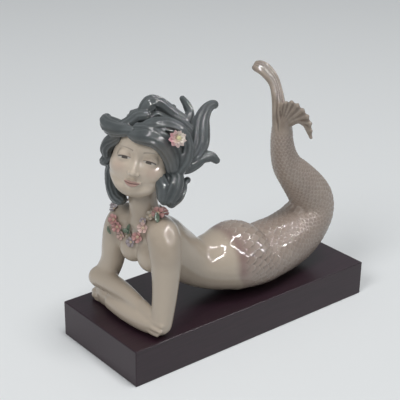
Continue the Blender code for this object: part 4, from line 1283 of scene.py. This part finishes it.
def build_hair():
    """The hair in two pieces, one for each side of her head."""
    mesh = hair_mesh()
    _, y, z = to_head(read_points(mesh)).T
    warm = 0.4 * step(y, 10, 20) * (1 - step(z, 12, 21)) * step(z, -14, -6)
    # Groove depth, for the painted shade and highlights of the hair.
    add_fields(mesh, warm=warm, crease=creases(mesh, 2))
    keep = outer_faces(mesh)
    right = to_head(face_centres(mesh))[:, 0] >= 0
    material = hair_material()
    for name, chosen in {"hair_front": right, "hair_far": ~right}.items():
        piece(name, submesh(mesh, keep & chosen, name), "mermaid", material)


def build_flowers():
    for i, (kind, normal, radius, spin) in enumerate(GARLAND):
        flower(f"garland_flower_{i + 1:02d}", radius, normal, spin, kind, i)
    for i, (normal, length, spin) in enumerate(LEAVES):
        leaf(f"garland_leaf_{i + 1:02d}", length, normal, spin)
    for kind, (petals, radius, turned) in LILY_RINGS.items():
        lily(kind, lily_ring(petals, radius, turned), radius, petals)
    lily("heart", lily_heart(HEART_RADIUS), HEART_RADIUS)


def lamp(name, shape, length, width, power, where):
    """An area lamp. Its size is in metres, its power in watts."""
    data = bpy.data.lights.new(name, "AREA")
    data.shape = shape
    data.size = length
    data.size_y = width
    data.energy = power
    light = new_object(name, data)
    light.matrix_world = where
    return light


def aimed(place):
    """A lamp's matrix at that place, shining at the point that all lamps are aimed at."""
    back = Vector(place) - Vector(LAMP_AIM)
    return Matrix.Translation(place) @ back.to_track_quat("Z", "Y").to_matrix().to_4x4()


def build_studio():
    """Floor, lamps and world."""
    corners = [(x * FLOOR_HALF, y * FLOOR_HALF, 0) for x, y in ((-1, -1), (1, -1), (1, 1), (-1, 1))]
    floor = bpy.data.meshes.new("floor")
    floor.from_pydata(corners, [], [(0, 1, 2, 3)])
    obj = new_object("floor", floor)
    n = Nodes("floor")
    n.bump(n.noise(40), 0.02, 0.2)
    floor.materials.append(n.finish(FLOOR_COLOUR, 0.9, 0.0, 0.1))
    for name, place, size, power in LAMPS:
        lamp(name, "DISK", size, size, power, aimed(place)).visible_glossy = False
    for i in range(4):
        turn = Matrix.Rotation(i * math.pi / 2, 4, "Z")
        where = aimed(LOOP_MIDDLE) @ turn @ Matrix.Translation((0, LOOP_SIDE / 2, 0))
        strip = lamp(f"strip_{i + 1}", "RECTANGLE", LOOP_SIDE, LOOP_WIDTH, LOOP_POWER, where)
        strip.visible_diffuse = False
    world = bpy.data.worlds.new("studio")
    bpy.context.scene.world = world
    world.use_nodes = True
    tree = world.node_tree
    back = tree.nodes["Background"]
    back.inputs["Color"].default_value = (*WORLD_COLOUR, 1)
    rays = tree.nodes.new("ShaderNodeLightPath")
    level = tree.nodes.new("ShaderNodeMapRange")
    level.inputs["To Min"].default_value = WORLD_LEVEL
    level.inputs["To Max"].default_value = MIRRORED_LEVEL
    tree.links.new(rays.outputs["Is Glossy Ray"], level.inputs["Value"])
    tree.links.new(level.outputs["Result"], back.inputs["Strength"])


def build_camera():
    """The camera that fits the photograph."""
    azimuth, elevation, roll = (math.radians(a) for a in CAMERA_ANGLES)
    level = math.cos(elevation)
    back = Vector((math.sin(azimuth) * level, -math.cos(azimuth) * level, math.sin(elevation)))
    right = Vector((0, 0, 1)).cross(back).normalized()
    up = back.cross(right)
    rolled_right = math.cos(roll) * right + math.sin(roll) * up
    rolled_up = math.cos(roll) * up - math.sin(roll) * right
    data = bpy.data.cameras.new("camera")
    data.lens = CAMERA_LENS
    data.sensor_width = CAMERA_SENSOR
    camera = new_object("camera", data)
    place = Vector(CAMERA_TARGET) + back * CAMERA_DISTANCE
    turn = Matrix((rolled_right, rolled_up, back)).transposed().to_4x4()
    camera.matrix_world = Matrix.Translation(place) @ turn
    bpy.context.scene.camera = camera


build_skin()
build_hair()
build_flowers()
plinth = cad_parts["plinth"]
plinth.data.materials.clear()
plinth.data.materials.append(wood_material())
build_studio()
build_camera()
bpy.context.scene.view_settings.view_transform = "Standard"
